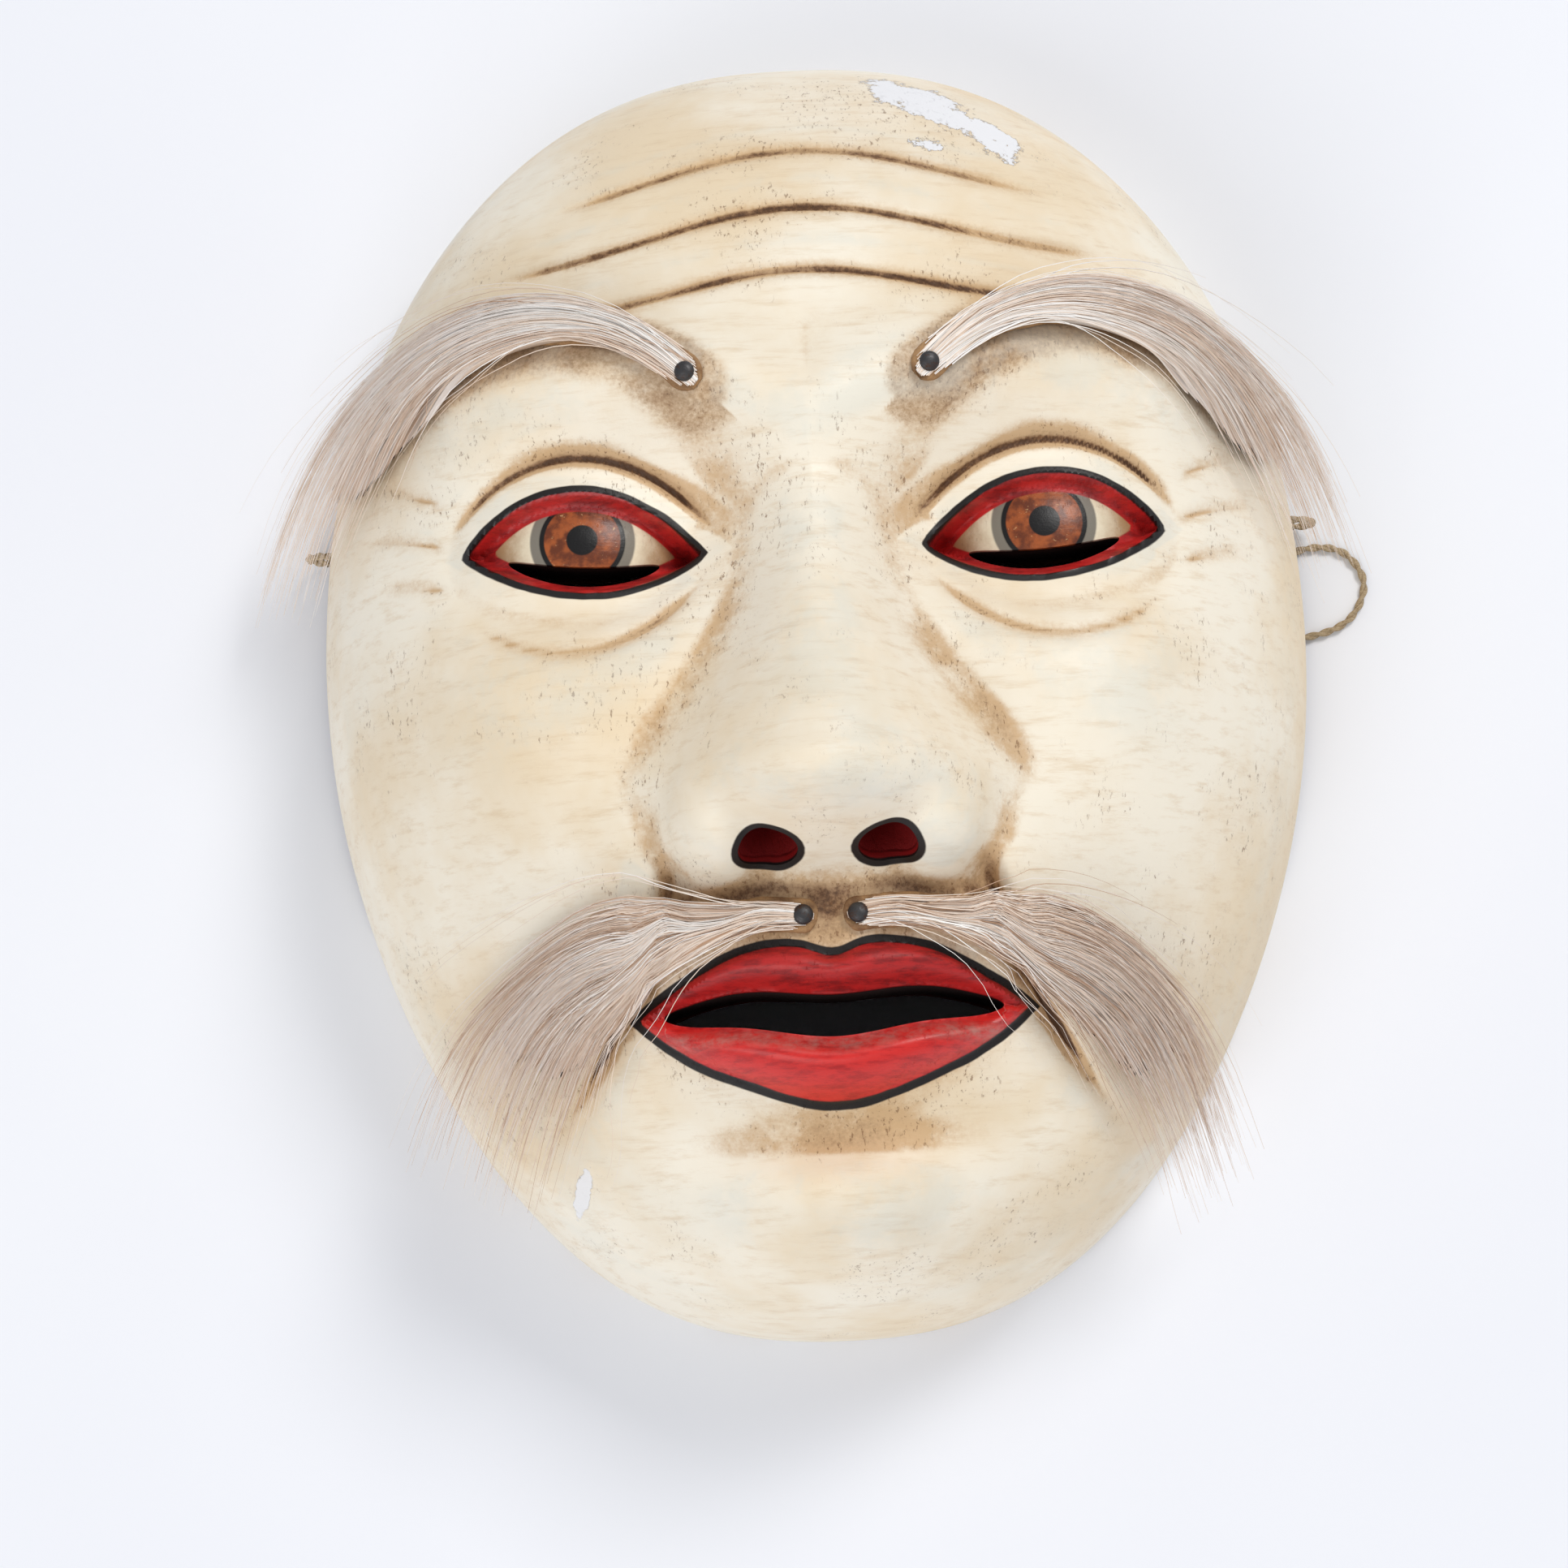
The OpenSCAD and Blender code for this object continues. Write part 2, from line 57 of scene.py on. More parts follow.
LEAVE_AT, LEAVE_SLOPE = 0.9, 1.8    # where hair leaves the wood, and how steeply it goes on
HIDE_LIFT, HIDE_THICK, HIDE_WIDTH = 0.12, 0.9, 4.6
BROW_LINE = np.array([[15, 34], [32, 51], [61, 48], [74, 15]], float)
MOUSTACHE_LINE = np.array([[2.2, -40.5], [20, -38], [38, -42], [52, -72]], float)
BROW_HIDE_END, LIP_HIDE_END = 0.55, 0.35    # share of the line that the hide strip covers
BROW_HAIRS, LIP_HAIRS = 560, 760    # hairs of one tuft
HAIR_POINTS = 18                # points along each hair
HAIR_SINK = 0.9                 # how far smoothing may lower a hair

LIE = 0.7
ROUTE = [[-56.4, 22.3, 3.9], [-56.6, 17, 1.8], [-53.5, 10, LIE], [-46, 3, LIE], [-34, 3, LIE],
         [-27, 13, LIE], [-29, 27, LIE], [-24, 39, LIE], [-12, 42, LIE], [-3, 34, LIE], [-2, 22, LIE],
         [-6, 10, LIE], [-3, -3, LIE], [8, -10, LIE], [19, -3, LIE], [27, 8, LIE], [38, 13, LIE],
         [50, 9, LIE], [62, 6.5, LIE], [74, 7, LIE], [80.5, 9.5, LIE], [83, 15, LIE], [80, 19.8, LIE],
         [74, 20.4, LIE], [67, 17, LIE], [60.5, 12.2, LIE], [55, 14, 1.1], [56.4, 22.3, 3.9]]
LOOP_INNER, LOOP_OUTER, LOOP_LOW, LOOP_BEND = 60.6, 75.2, 1.1, 3.0
KNOT_X, KNOT_D = 57.75, 4.4
TWINE_STEP = 0.35               # spacing of the rings along a loop or a tail

# ---- camera

VIEW_WIDTH = 221.0              # width of the view where the mask lies
LENS, SENSOR = 100.0, 36.0
ELEVATION = 81.0                # degrees above the floor, from the chin's side
ROLL = -2.4
AIM = Vector((-5.5, -17.9, 38.0)) * MM


def add_to_scene(name, data):
    obj = bpy.data.objects.new(name, data)
    bpy.context.scene.collection.objects.link(obj)
    return obj


def make_camera():
    data = bpy.data.cameras.new("camera")
    data.lens, data.sensor_width = LENS, SENSOR
    camera = add_to_scene("camera", data)
    e = math.radians(ELEVATION)
    back = Vector((0, -math.cos(e), math.sin(e)))
    camera.location = AIM + back * (VIEW_WIDTH * MM * LENS / SENSOR)
    turn = (-back).to_track_quat("-Z", "Y").to_matrix() @ Matrix.Rotation(math.radians(ROLL), 3, "Z")
    camera.rotation_euler = turn.to_euler()
    data.clip_start, data.clip_end = 0.01, 20
    bpy.context.scene.camera = camera


make_camera()

# ---- curves and shapes


def ease(a, b, t):
    u = np.clip((t - a) / (b - a), 0, 1)
    return u * u * (3 - 2 * u)


def soft_max(a, b, r):
    h = np.maximum(r - np.abs(a - b), 0) / r
    return np.maximum(a, b) + h * h * r / 4


def soft_min(a, b, r):
    return -soft_max(-a, -b, r)


def ridge(d, w):
    return np.exp(-(d / w) ** 2)


def bow(x, w, p=2.0):
    return np.maximum(0, 1 - np.abs(x / w) ** p)


def bell(x, y, centre, radii, turn=0.0, edge=2.0):
    c, s = math.cos(math.radians(turn)), math.sin(math.radians(turn))
    dx, dy = x - centre[0], y - centre[1]
    u, v = (dx * c + dy * s) / radii[0], (dy * c - dx * s) / radii[1]
    return np.exp(-(u * u + v * v) ** (edge / 2))


def signed_power(t, p):
    return np.sign(t) * np.abs(t) ** p


def unit(v):
    return v / np.maximum(np.linalg.norm(v, axis=-1, keepdims=True), 1e-12)


# ---- the carved face, as heights over the rim


def half_width(y):
    t = y / BLANK[1]
    return BLANK[0] * (1 - 0.13 * ease(0.1, -1, t) - 0.05 * ease(0.25, 1, t))


def reach(x, y):
    across, up = np.abs(x) / half_width(y), np.abs(y) / BLANK[1]
    return (across ** ROUNDNESS + up ** ROUNDNESS) ** (1 / ROUNDNESS)


def cap(s):
    return np.maximum(0, 1 - np.minimum(s, 1) ** ROUNDNESS) ** (1 / ROUNDNESS)


def broad_forms(ax, y):
    return (4.6 * bell(ax, y, (42, -8), (18, 15), -30)
            + 4.4 * ridge(y - 31 - 7 * bow(ax - 31, 31), 8) * ease(66, 48, ax)
            + 1.6 * bell(ax, y, (0, 64), (34, 20))
            - 2.5 * bell(ax, y, (60, 30), (9, 20))
            - 3.2 * bell(ax, y, (50, -42), (12, 20), -20)
            + 7.0 * bell(ax, y, (0, -50), (27, 19), 0, 2.4)
            + 10.5 * bell(ax, y, (0, -80), (19, 10.5), 0, 2.4)
            + 3.5 * bell(ax, y, (38, -68), (16, 12), 35)
            - 3.0 * bell(ax, y, (0, -69), (17, 4.5))
            - 10.0 * bell(ax, y, (29, 14), (19, 13), -4, 2.4)
            - 2.5 * bell(ax, y, (14, 20), (7, 10)))


def nose(ax, y):
    bridge = 58.5 + 0.6 * (27 - y) - 0.09 * np.maximum(y - 17, 0) ** 2
    under = 66.5 + 2.1 * (y + 34.5)
    crest = soft_min(bridge, under, 10)
    side = crest - 7 * (ax / (7.2 + 5.3 * ease(12, -20, y))) ** 1.9
    u = np.sqrt(((ax - 14.2) / 8.2) ** 2 + ((y + 26) / 9.4) ** 2)
    wing = 61.5 + 14 * np.where(u < 0.9, np.sqrt(np.maximum(1 - u * u, 0)), 0.436 - 2.065 * (u - 0.9))
    return soft_max(side, wing, 4.5)


def fold_distance(ax, y):
    """Distance across the cheek fold, which runs from the nose wing past the corner of the mouth."""
    t = np.clip((-21 - y) / 46, -0.3, 1.3)
    return ax - 20.5 - 20 * t + 4 * np.sin(math.pi * np.clip(t, 0, 1))


def fold_length(y):
    return ease(-14, -27, y) * ease(-72, -50, y)


def cheek_fold(ax, y):
    d = fold_distance(ax, y)
    rise = 2.4 * ridge(np.maximum(d - 1.5, 0), 9) * ease(-2.5, 1.5, d)
    return fold_length(y) * (rise - 1.3 * ridge(d + 2.2, 2.6) - 0.7 * ridge(d + 1.6, 0.8))


def lid_line(ax, rise, p):
    return EYE_Y + 0.06 * (ax - EYE_X) + rise * bow(ax - EYE_X, EYE_HALF) ** p


def lid_top(ax):
    return lid_line(ax, LID_RISE, 0.85)


def lid_low(ax):
    return lid_line(ax, -LID_DROP, 0.9)


def in_eye(ax, y):
    """Distance inside the opening between the lids, about true near its edge, and below 0 outside."""
    dx = np.abs(ax - EYE_X)
    across = np.minimum(lid_top(ax) - y, y - lid_low(ax)) / (1 + 0.64 * (dx / EYE_HALF) ** 3)
    beyond = -(np.abs(y - lid_line(ax, 0, 1)) + 1.3 * (dx - EYE_HALF)) / 1.64
    return np.where(dx < EYE_HALF, across, beyond)


def lid_creases(ax, y):
    """Distances to the crease over the upper lid and to the one under the eye, and how strong each is."""
    dx = ax - EYE_X
    over = y - EYE_Y - 0.06 * dx - (LID_RISE + 4.8) * bow(dx, 20.5) ** 0.8
    under = y - EYE_Y + 0.1 * dx + (LID_DROP + 8.5) * bow(dx, 21) ** 0.8
    return over, ease(19, 14, np.abs(dx)), under, ease(18, 10, np.abs(dx))


def with_eyes(z, ax, y):
    dx = ax - EYE_X
    r = np.hypot(dx, (y - EYE_Y - 0.6) * 1.08)
    ball = BALL_Z + np.sqrt(np.maximum(BALL_R ** 2 - r * r, 0))
    lid = BALL_Z + np.where(r < 19.5, np.sqrt(np.maximum(LID_R ** 2 - r * r, 0)), 2 * (19.5 - r))
    opening = np.where(np.abs(dx) < EYE_HALF, np.minimum(lid_top(ax) - y, y - lid_low(ax)), -1)
    share = ease(0, LID_BEVEL, opening)
    over, over_share, under, under_share = lid_creases(ax, y)
    carved = soft_max(z, lid, 5) * (1 - share) + ball * share
    return carved - 1.2 * ridge(over, 0.9) * over_share - 0.8 * ridge(under, 1.1) * under_share


def gap_middle(ax):
    return MOUTH_Y - 0.9 * ridge(ax, 8) + 0.5 * ridge(ax - 13, 7)


def gap_half(ax):
    return GAP_HEIGHT / 2 * np.sqrt(bow(ax, GAP_HALF))


def lip_top(ax):
    return gap_middle(ax) + 9.6 * bow(ax, MOUTH_HALF, 1.8) ** 0.9 - 1.6 * ridge(ax, 3.4)


def lip_low(ax):
    return gap_middle(ax) - 11.5 * bow(ax, MOUTH_HALF, 2.2) ** 0.95


def in_lips(ax, y):
    across = np.minimum(lip_top(ax) - y, y - lip_low(ax)) / (1 + 0.28 * (ax / MOUTH_HALF) ** 3)
    beyond = -(np.abs(y - gap_middle(ax)) + 0.8 * (ax - MOUTH_HALF)) / 1.28
    return np.where(ax < MOUTH_HALF, across, beyond)


def with_lips(z, ax, y):
    middle, half, top, low = gap_middle(ax), gap_half(ax), lip_top(ax), lip_low(ax)
    up = np.clip((y - middle - half) / np.maximum(top - middle - half, 0.1), 0, 1)
    down = np.clip((middle - half - y) / np.maximum(middle - half - low, 0.1), 0, 1)
    on_lip = np.where(ax < MOUTH_HALF, ease(0, 1.2, np.minimum(top - y, y - low)), 0)
    upper, lower = 3 * np.sin(math.pi * (0.15 + 0.85 * up)), 4.2 * np.sin(math.pi * (0.15 + 0.85 * down))
    swell = np.where(y > middle, upper, lower)
    away = np.maximum(np.abs(y - middle) - half, 0)
    z = z + on_lip * (swell + 0.2) * np.sqrt(bow(ax, MOUTH_HALF))
    return z - 2.6 * ridge(away, 2) * ease(MOUTH_HALF, 18, ax)


# Carved lines across the forehead: height, rise, half length and depth.
FOREHEAD_LINES = ((50, 5, 40, 0.9), (60, 6, 46, 0.9), (70, 7, 38, 0.8))


def forehead_line(x, y, height, rise, half, depth):
    """Distance to a forehead line, and its depth there."""
    d = y - height + rise * (1 - np.cos(np.radians(2 * x))) - 1.2 * np.cos(np.radians(6.4 * x))
    return d, depth * ease(half, half - 12, np.abs(x))


def temple_line(ax, y, n):
    """Distance to one of three lines that fan out behind the eye, and its depth there."""
    d = y - (EYE_Y - 3 + 6 * n) - (0.1 + 0.16 * n) * (ax - 52) - 1.2 * np.sin((ax - 52) / 5.0)
    return d, 0.6 * ease(50.5, 53.5, ax) * ease(66 - 2 * abs(n - 1), 60 - 2 * abs(n - 1), ax)


def face(x, y):
    ax = np.abs(x)
    base = BLANK[2] * cap(reach(x, y))
    z = base + broad_forms(ax, y) * ease(0, 26, base) + cheek_fold(ax, y)
    z = soft_max(z, nose(ax, y), 7) - 1.3 * bell(x, y, (0, -39), (2.6, 4.5))
    z = with_lips(with_eyes(z, ax, y), ax, y)
    for line in FOREHEAD_LINES:
        d, depth = forehead_line(x, y, *line)
        z = z - depth * ridge(d, 0.8)
    for n in range(3):
        d, depth = temple_line(ax, y, n)
        z = z - depth * ridge(d, 0.7)
    return z


def hollow(s, x, y):
    return HOLLOW * cap(s) + 15 * bell(x, y, (0, -19), (12, 20)) + 9 * bell(x, y, (0, -50), (20, 13))


def arch(y):
    r = (ARCH_HALF ** 2 + RIM_ARCH ** 2) / (2 * RIM_ARCH)
    return np.maximum(0, RIM_ARCH - r + np.sqrt(r * r - (y - ARCH_Y) ** 2))


# ---- mesh helpers


def add_mesh(name, points, quads, triangles=()):
    """A smooth-shaded mesh object from points in mm."""
    triangles = np.reshape(triangles, (-1, 3)).astype(int)
    mesh = bpy.data.meshes.new(name)
    mesh.vertices.add(len(points))
    mesh.vertices.foreach_set("co", (np.asarray(points) * MM).astype(np.float32).ravel())
    loops = np.concatenate([quads.ravel(), triangles.ravel()]).astype(np.int32)
    mesh.loops.add(len(loops))
    mesh.loops.foreach_set("vertex_index", loops)
    starts = np.concatenate([np.arange(len(quads)) * 4, len(quads) * 4 + np.arange(len(triangles)) * 3])
    mesh.polygons.add(len(starts))
    mesh.polygons.foreach_set("loop_start", starts.astype(np.int32))
    mesh.update(calc_edges=True)
    mesh.validate()
    return add_to_scene(name, mesh)


def grid_faces(rows, n):
    """Quads between neighbouring rings of n points."""
    i, j = np.meshgrid(np.arange(rows - 1), np.arange(n), indexing="ij")
    a, b = i * n + j, i * n + (j + 1) % n
    return np.stack([a, b, b + n, a + n], -1).reshape(-1, 4)


def add_tube(name, rings, ends):
    """A tube through rings of points, closed by a fan of triangles round a middle point at each end."""
    rows, n = rings.shape[:2]
    j, last = np.arange(n), (rows - 1) * n
    fans = np.concatenate([np.stack([np.full(n, rows * n), (j + 1) % n, j], -1),
                           np.stack([np.full(n, rows * n + 1), last + j, last + (j + 1) % n], -1)])
    return add_mesh(name, np.concatenate([rings.reshape(-1, 3), ends]), grid_faces(rows, n), fans)


def add_flat_tube(name, rings):
    """A closed tube whose rings of points go across its underside and back over its top, or the other way."""
    rows, n = rings.shape[:2]
    k = np.arange(n // 2 - 1)
    start = np.stack([k, k + 1, n - 2 - k, n - 1 - k], -1)
    quads = np.concatenate([grid_faces(rows, n), start, start[:, ::-1] + (rows - 1) * n])
    return add_mesh(name, rings.reshape(-1, 3), quads)


def set_attribute(obj, name, values):
    attribute = obj.data.attributes.new(name, "FLOAT", "POINT")
    attribute.data.foreach_set("value", np.asarray(values, np.float32))


def vertices_of(obj):
    co = np.zeros(len(obj.data.vertices) * 3, np.float32)
    obj.data.vertices.foreach_get("co", co)
    return co.reshape(-1, 3).astype(float) / MM


# ---- the shell

RING_POINTS, FACE_RINGS, HOLLOW_RINGS = 540, 230, 60
CUTTER_STEPS, ROD_SIDES = 12, 48
HOLE_FROM, HOLE_TO = 57, 81     # x of the ends of the cutters for the cord's holes


def ring_grid(rings, half, inset):
    """x and y of rings from the middle to the rim, and each ring's share of the way."""
    angle = math.pi / 2 * (np.arange(1, rings + 1) / rings) ** 1.2
    s = (np.sin(angle) ** (2 / ROUNDNESS))[:, None]
    t = (2 * math.pi * np.arange(RING_POINTS) / RING_POINTS)[None, :]
    y = half * s * signed_power(np.sin(t), 2 / ROUNDNESS)
    w = half_width(y * BLANK[1] / half) - inset
    return w * s * signed_power(np.cos(t), 2 / ROUNDNESS), y, np.broadcast_to(s, y.shape)


def gouges(x, y):
    """Shallow flutes that a gouge leaves in the hollow."""
    wander = 3 * np.sin(y / 13.0) + 2 * np.sin(y / 5.0 + x / 17.0)
    along, across = np.sin((x + wander) * math.pi / 7.0), np.sin((y + wander) * math.pi / 17.0)
    return 0.45 * np.abs(along) + 0.25 * np.abs(across)


def shell_rings():
    """Rings over the face, across the rim and over the hollow, and the middle points that close them."""
    x, y, _ = ring_grid(FACE_RINGS, BLANK[1], 0)
    outer = np.stack([x, y, np.maximum(face(x, y), arch(y))], -1)
    u, v, s = ring_grid(HOLLOW_RINGS, BLANK[1] - WALL, WALL)
    inner = np.stack([u, v, np.maximum(hollow(s, u, v) - gouges(u, v) * ease(1, 0.9, s), arch(v))], -1)
    rim = []
    for share in (0.05, 0.35, 0.65, 0.95):
        p = outer[-1] + (inner[-1] - outer[-1]) * share
        p[:, 2] = arch(p[:, 1])
        rim.append(p)
    outer[-1, :, 2] += 0.6
    inner[-1, :, 2] += 0.5
    rows = np.concatenate([outer, np.stack(rim), inner[::-1]])
    tips = [[0, 0, face(np.float64(0), np.float64(0))], [0, 0, hollow(0, 0, 0)]]
    return rows, tips


def prism(name, outline, low, high):
    """A closed prism over an outline in mm, with its walls in short steps so that they shade well."""
    levels = np.linspace(low, high, CUTTER_STEPS)
    rings = np.stack([np.column_stack([outline, np.full(len(outline), z)]) for z in levels])
    return add_tube(name, rings, [[*outline.mean(0), low], [*outline.mean(0), high]])


def rod(name, start, end, r):
    """A closed round rod."""
    start, end = np.array(start, float), np.array(end, float)
    along = unit(end - start)
    flat = unit(np.cross(along, [0.0, 0.0, 1.0] if abs(along[2]) < 0.9 else [1.0, 0.0, 0.0]))
    up = np.cross(along, flat)
    t = 2 * math.pi * np.arange(ROD_SIDES) / ROD_SIDES
    ring = r * (np.cos(t)[:, None] * flat + np.sin(t)[:, None] * up)
    levels = np.linspace(0, 1, CUTTER_STEPS)[:, None, None]
    return add_tube(name, start + levels * (end - start) + ring[None], [start, end])


def mouth_outline():
    x = GAP_HALF * np.sin(np.linspace(-math.pi / 2, math.pi / 2, 61))
    top = np.column_stack([x, gap_middle(np.abs(x)) + gap_half(np.abs(x))])
    low = np.column_stack([x, gap_middle(np.abs(x)) - gap_half(np.abs(x))])[1:-1][::-1]
    return np.concatenate([low[::-1], top[::-1]])


def slit_outline(side):
    dx = SLIT_HALF * np.sin(np.linspace(-math.pi / 2, math.pi / 2, 41))
    h = SLIT_HEIGHT / 2 * np.sqrt(bow(dx, SLIT_HALF))
    y = lid_low(EYE_X + dx) + SLIT_INSET + SLIT_HEIGHT / 2
    low = np.column_stack([side * (EYE_X + dx), y - h])[1:-1]
    top = np.column_stack([side * (EYE_X + dx), y + h])[::-1]
    outline = np.concatenate([low, top])
    return outline if side > 0 else outline[::-1]


NOSTRIL = (np.array([8.6, -46.0, 81.0]), np.array([7.0, -8.0, 54.0]))
MIRROR = np.array([-1.0, 1.0, 1.0])


def cut(obj, cutter):
    modifier = obj.modifiers.new("cut", "BOOLEAN")
    modifier.operation, modifier.object, modifier.solver = "DIFFERENCE", cutter, "MANIFOLD"
    bpy.context.view_layer.objects.active = obj
    bpy.ops.object.modifier_apply(modifier=modifier.name)
    bpy.data.objects.remove(cutter)


def make_shell():
    shell = add_tube("carved_shell", *shell_rings())
    cut(shell, prism("mouth_cutter", mouth_outline(), 30, 90))
    for side in (-1, 1):
        flip = MIRROR if side < 0 else np.ones(3)
        cut(shell, prism("slit_cutter", slit_outline(side), 25, 75))
        cut(shell, rod("nostril_cutter", NOSTRIL[0] * flip, NOSTRIL[1] * flip, NOSTRIL_R))
        cut(shell, rod("hole_cutter", (side * HOLE_FROM, CORD_HOLE_Y, CORD_HOLE_Z),
                       (side * HOLE_TO, CORD_HOLE_Y, CORD_HOLE_Z), CORD_HOLE_R))
    shell.data.polygons.foreach_set("use_smooth", np.full(len(shell.data.polygons), True))
    shell.data.set_sharp_from_angle(angle=math.radians(38))
    return shell


# ---- what the paint needs to know at each point

IRIS = (EYE_X, EYE_Y + 1.7)
CHIPS = ((14, 84, 8, 4, -15), (22, 79, 9, 4.5, -30), (30, 73, 6, 3.5, -35), (19, 72, 4, 2, 0))
SCUFF = (-36, -74, 1.5, 4.2, -20)
FINE_REACH, WIDE_REACH = 1.1, 4.5   # how far apart the slopes are measured for fine and for wide hollows


def face_slopes(x, y, e):
    """Height, steepness and hollowness of the face at each point, measured over a distance e."""
    h = face(x, y)
    east, west, north, south = face(x + e, y), face(x - e, y), face(x, y + e), face(x, y - e)
    steep = 1 + ((east - west) / (2 * e)) ** 2 + ((north - south) / (2 * e)) ** 2
    return h, steep, (east + west + north + south - 4 * h) / (e * e * steep)


def line_strength(x, y):
    """How close each point is to the bottom of a carved line: 1 at the bottom, fading over about 3 mm."""
    ax = np.abs(x)
    lines = [forehead_line(x, y, *line) for line in FOREHEAD_LINES]
    lines += [temple_line(ax, y, n) for n in range(3)]
    over, over_share, under, under_share = lid_creases(ax, y)
    lines += [(over, 0.7 * over_share), (under, 0.7 * under_share)]
    lines.append((fold_distance(ax, y) + 1.7, fold_length(y) * ease(-32, -40, y)))
    strength = np.zeros_like(x)
    for d, share in lines:
        strength = np.maximum(strength, np.minimum(1, 1.2 * share) * ridge(d, 1.5))
    return strength


def tuft_shadow_and_dirt(x, y, line, until):
    """Dark band on the wood round a tuft's strip, more on its lower side: painted shadow of the tuft, with some
    dirty glue.
    """
    t = np.linspace(0, until, 40)
    route, side = line_point(line, t), line_side(line, t)
    dx, dy = np.abs(x)[:, None] - route[:, 0], y[:, None] - route[:, 1]
    nearest = np.argmin(dx * dx + dy * dy, axis=1)
    row = np.arange(len(x))
    away = np.hypot(dx[row, nearest], dy[row, nearest])
    over = dx[row, nearest] * side[nearest, 0] + dy[row, nearest] * side[nearest, 1]
    clear, fade = np.where(over < 0, 5.0, 3.4), np.where(over < 0, 2.4, 1.4)
    return ridge(np.maximum(away - clear, 0), fade) * ease(until, 0.8 * until, t[nearest])


def nostril_distance(x, y, z):
    p = np.stack([np.abs(x), y, z], -1) - NOSTRIL[0]
    along = unit(NOSTRIL[1] - NOSTRIL[0])
    return np.linalg.norm(p - (p @ along)[:, None] * along, axis=1) - NOSTRIL_R


def mark_shell(obj):
    x, y, z = vertices_of(obj).T
    ax = np.abs(x)
    h, steep, fine = face_slopes(x, y, FINE_REACH)
    _, _, wide = face_slopes(x, y, WIDE_REACH)
    near_rim = ease(3, 15, z)
    # Painted shadow of each tuft, with some dirty glue, on the wood round its strip.
    brow_shadow_and_dirt, lip_shadow_and_dirt = tuft_shadow_and_dirt(x, y, BROW_LINE, 0.85), tuft_shadow_and_dirt(x, y, MOUSTACHE_LINE, 0.6)
    marks = {
        "depth": (h - z) / np.sqrt(steep),
        "fine": fine * near_rim,
        "wide": wide * near_rim,
        "line": line_strength(x, y),
        "tuft_shadow_and_dirt": np.maximum(brow_shadow_and_dirt, 0.8 * lip_shadow_and_dirt),
        "lid": in_eye(ax, y),
        "iris": np.hypot(ax - IRIS[0], y - IRIS[1]),
        "lip": in_lips(ax, y),
        "gap": np.where(ax < GAP_HALF, y - gap_middle(ax), np.sign(y - MOUTH_Y) * 9),
        "nostril": nostril_distance(x, y, z),
        "chips": sum(bell(x, y, c[:2], c[2:4], c[4]) for c in CHIPS),
        "scuff": bell(x, y, SCUFF[:2], SCUFF[2:4], SCUFF[4]),
    }
    for name, values in marks.items():
        set_attribute(obj, name, values)


# ---- sweeps: twine, loops and knots


def smooth_line(points, step):
    """A smooth curve through every point, in steps of about the given length."""
    p = np.array(points, float)
    n = len(p)
    out = []
    for i in range(n - 1):
        a, b, c, d = p[max(i - 1, 0)], p[i], p[i + 1], p[min(i + 2, n - 1)]
        count = max(2, int(round(np.linalg.norm(c - b) / step)))
        t = (np.arange(count) / count)[:, None]
        square, cube = 2 * a - 5 * b + 4 * c - d, 3 * (b - c) + d - a
        out.append(b + t * (c - a) / 2 + t ** 2 * square / 2 + t ** 3 * cube / 2)
    out.append(p[-1:])
    return np.concatenate(out)


def twist_radius(angle, r):
    """Outline of two plies lying side by side, for a twine of radius r."""
    offset, ply = 0.44 * r, 0.56 * r
    c, s = np.abs(np.cos(angle)), np.sin(angle)
    return np.maximum(offset * c + np.sqrt(np.maximum(ply ** 2 - (offset * s) ** 2, 0)), 0.5 * r)


def sweep_twine(name, line, r, closed=False, turn=4.6, sides=16):
    """Two-ply twine along a line in mm; turn is the length of one full twist."""
    n = len(line)
    after, before = np.roll(line, -1, 0), np.roll(line, 1, 0)
    if not closed:
        after[-1], before[0] = line[-1], line[0]
    along = unit(after - before)
    side = np.zeros_like(line)
    side[0] = unit(np.cross(along[0], [0.3, 0.2, 1.0]))
    for i in range(1, n):
        v = side[i - 1] - along[i] * (side[i - 1] @ along[i])
        side[i] = v / np.linalg.norm(v)
    up = np.cross(along, side)
    walked = np.concatenate([[0], np.cumsum(np.linalg.norm(np.diff(line, axis=0), axis=1))])
    a = 2 * math.pi * np.arange(sides) / sides
    twist = 2 * math.pi * walked / turn
    radius = twist_radius(a[None, :] - twist[:, None], r)
    ring = np.cos(a)[None, :, None] * side[:, None] + np.sin(a)[None, :, None] * up[:, None]
    rings = line[:, None] + radius[..., None] * ring
    if closed:
        j, last = np.arange(sides), (n - 1) * sides
        seam = np.stack([last + j, last + (j + 1) % sides, (j + 1) % sides, j], -1)
        obj = add_mesh(name, rings.reshape(-1, 3), np.concatenate([grid_faces(n, sides), seam]))
    else:
        obj = add_tube(name, rings, [line[0], line[-1]])
    # Low in the groove between the two plies, where the twine's material paints shade.
    shade = np.abs(np.cos(a[None, :] - twist[:, None])).ravel()
    set_attribute(obj, "ply", np.concatenate([shade, np.full(len(obj.data.vertices) - len(shade), 0.5)]))
    return obj


def knot_loop(side):
    """The closed loop through a side's hole and under the rim."""
    corners = np.array([[LOOP_INNER, LOOP_LOW], [LOOP_OUTER, LOOP_LOW],
                        [LOOP_OUTER, CORD_HOLE_Z], [LOOP_INNER, CORD_HOLE_Z]])
    inward = np.array([[1, 1], [-1, 1], [-1, -1], [1, -1]])
    line = []
    for i in range(4):
        centre = corners[i] + LOOP_BEND * inward[i]
        for q in np.linspace(0, 1, 9):
            t = math.pi * (1 + i / 2 + q / 2)
            x, z = centre + LOOP_BEND * np.array([math.cos(t), math.sin(t)])
            line.append([side * x, CORD_HOLE_Y, z])
    dense = smooth_line(line + line[:1], TWINE_STEP)[:-1]
    dense[:, 1] += 0.5 * np.sin(np.arange(len(dense)) / len(dense) * 2 * math.pi + side)
    return dense


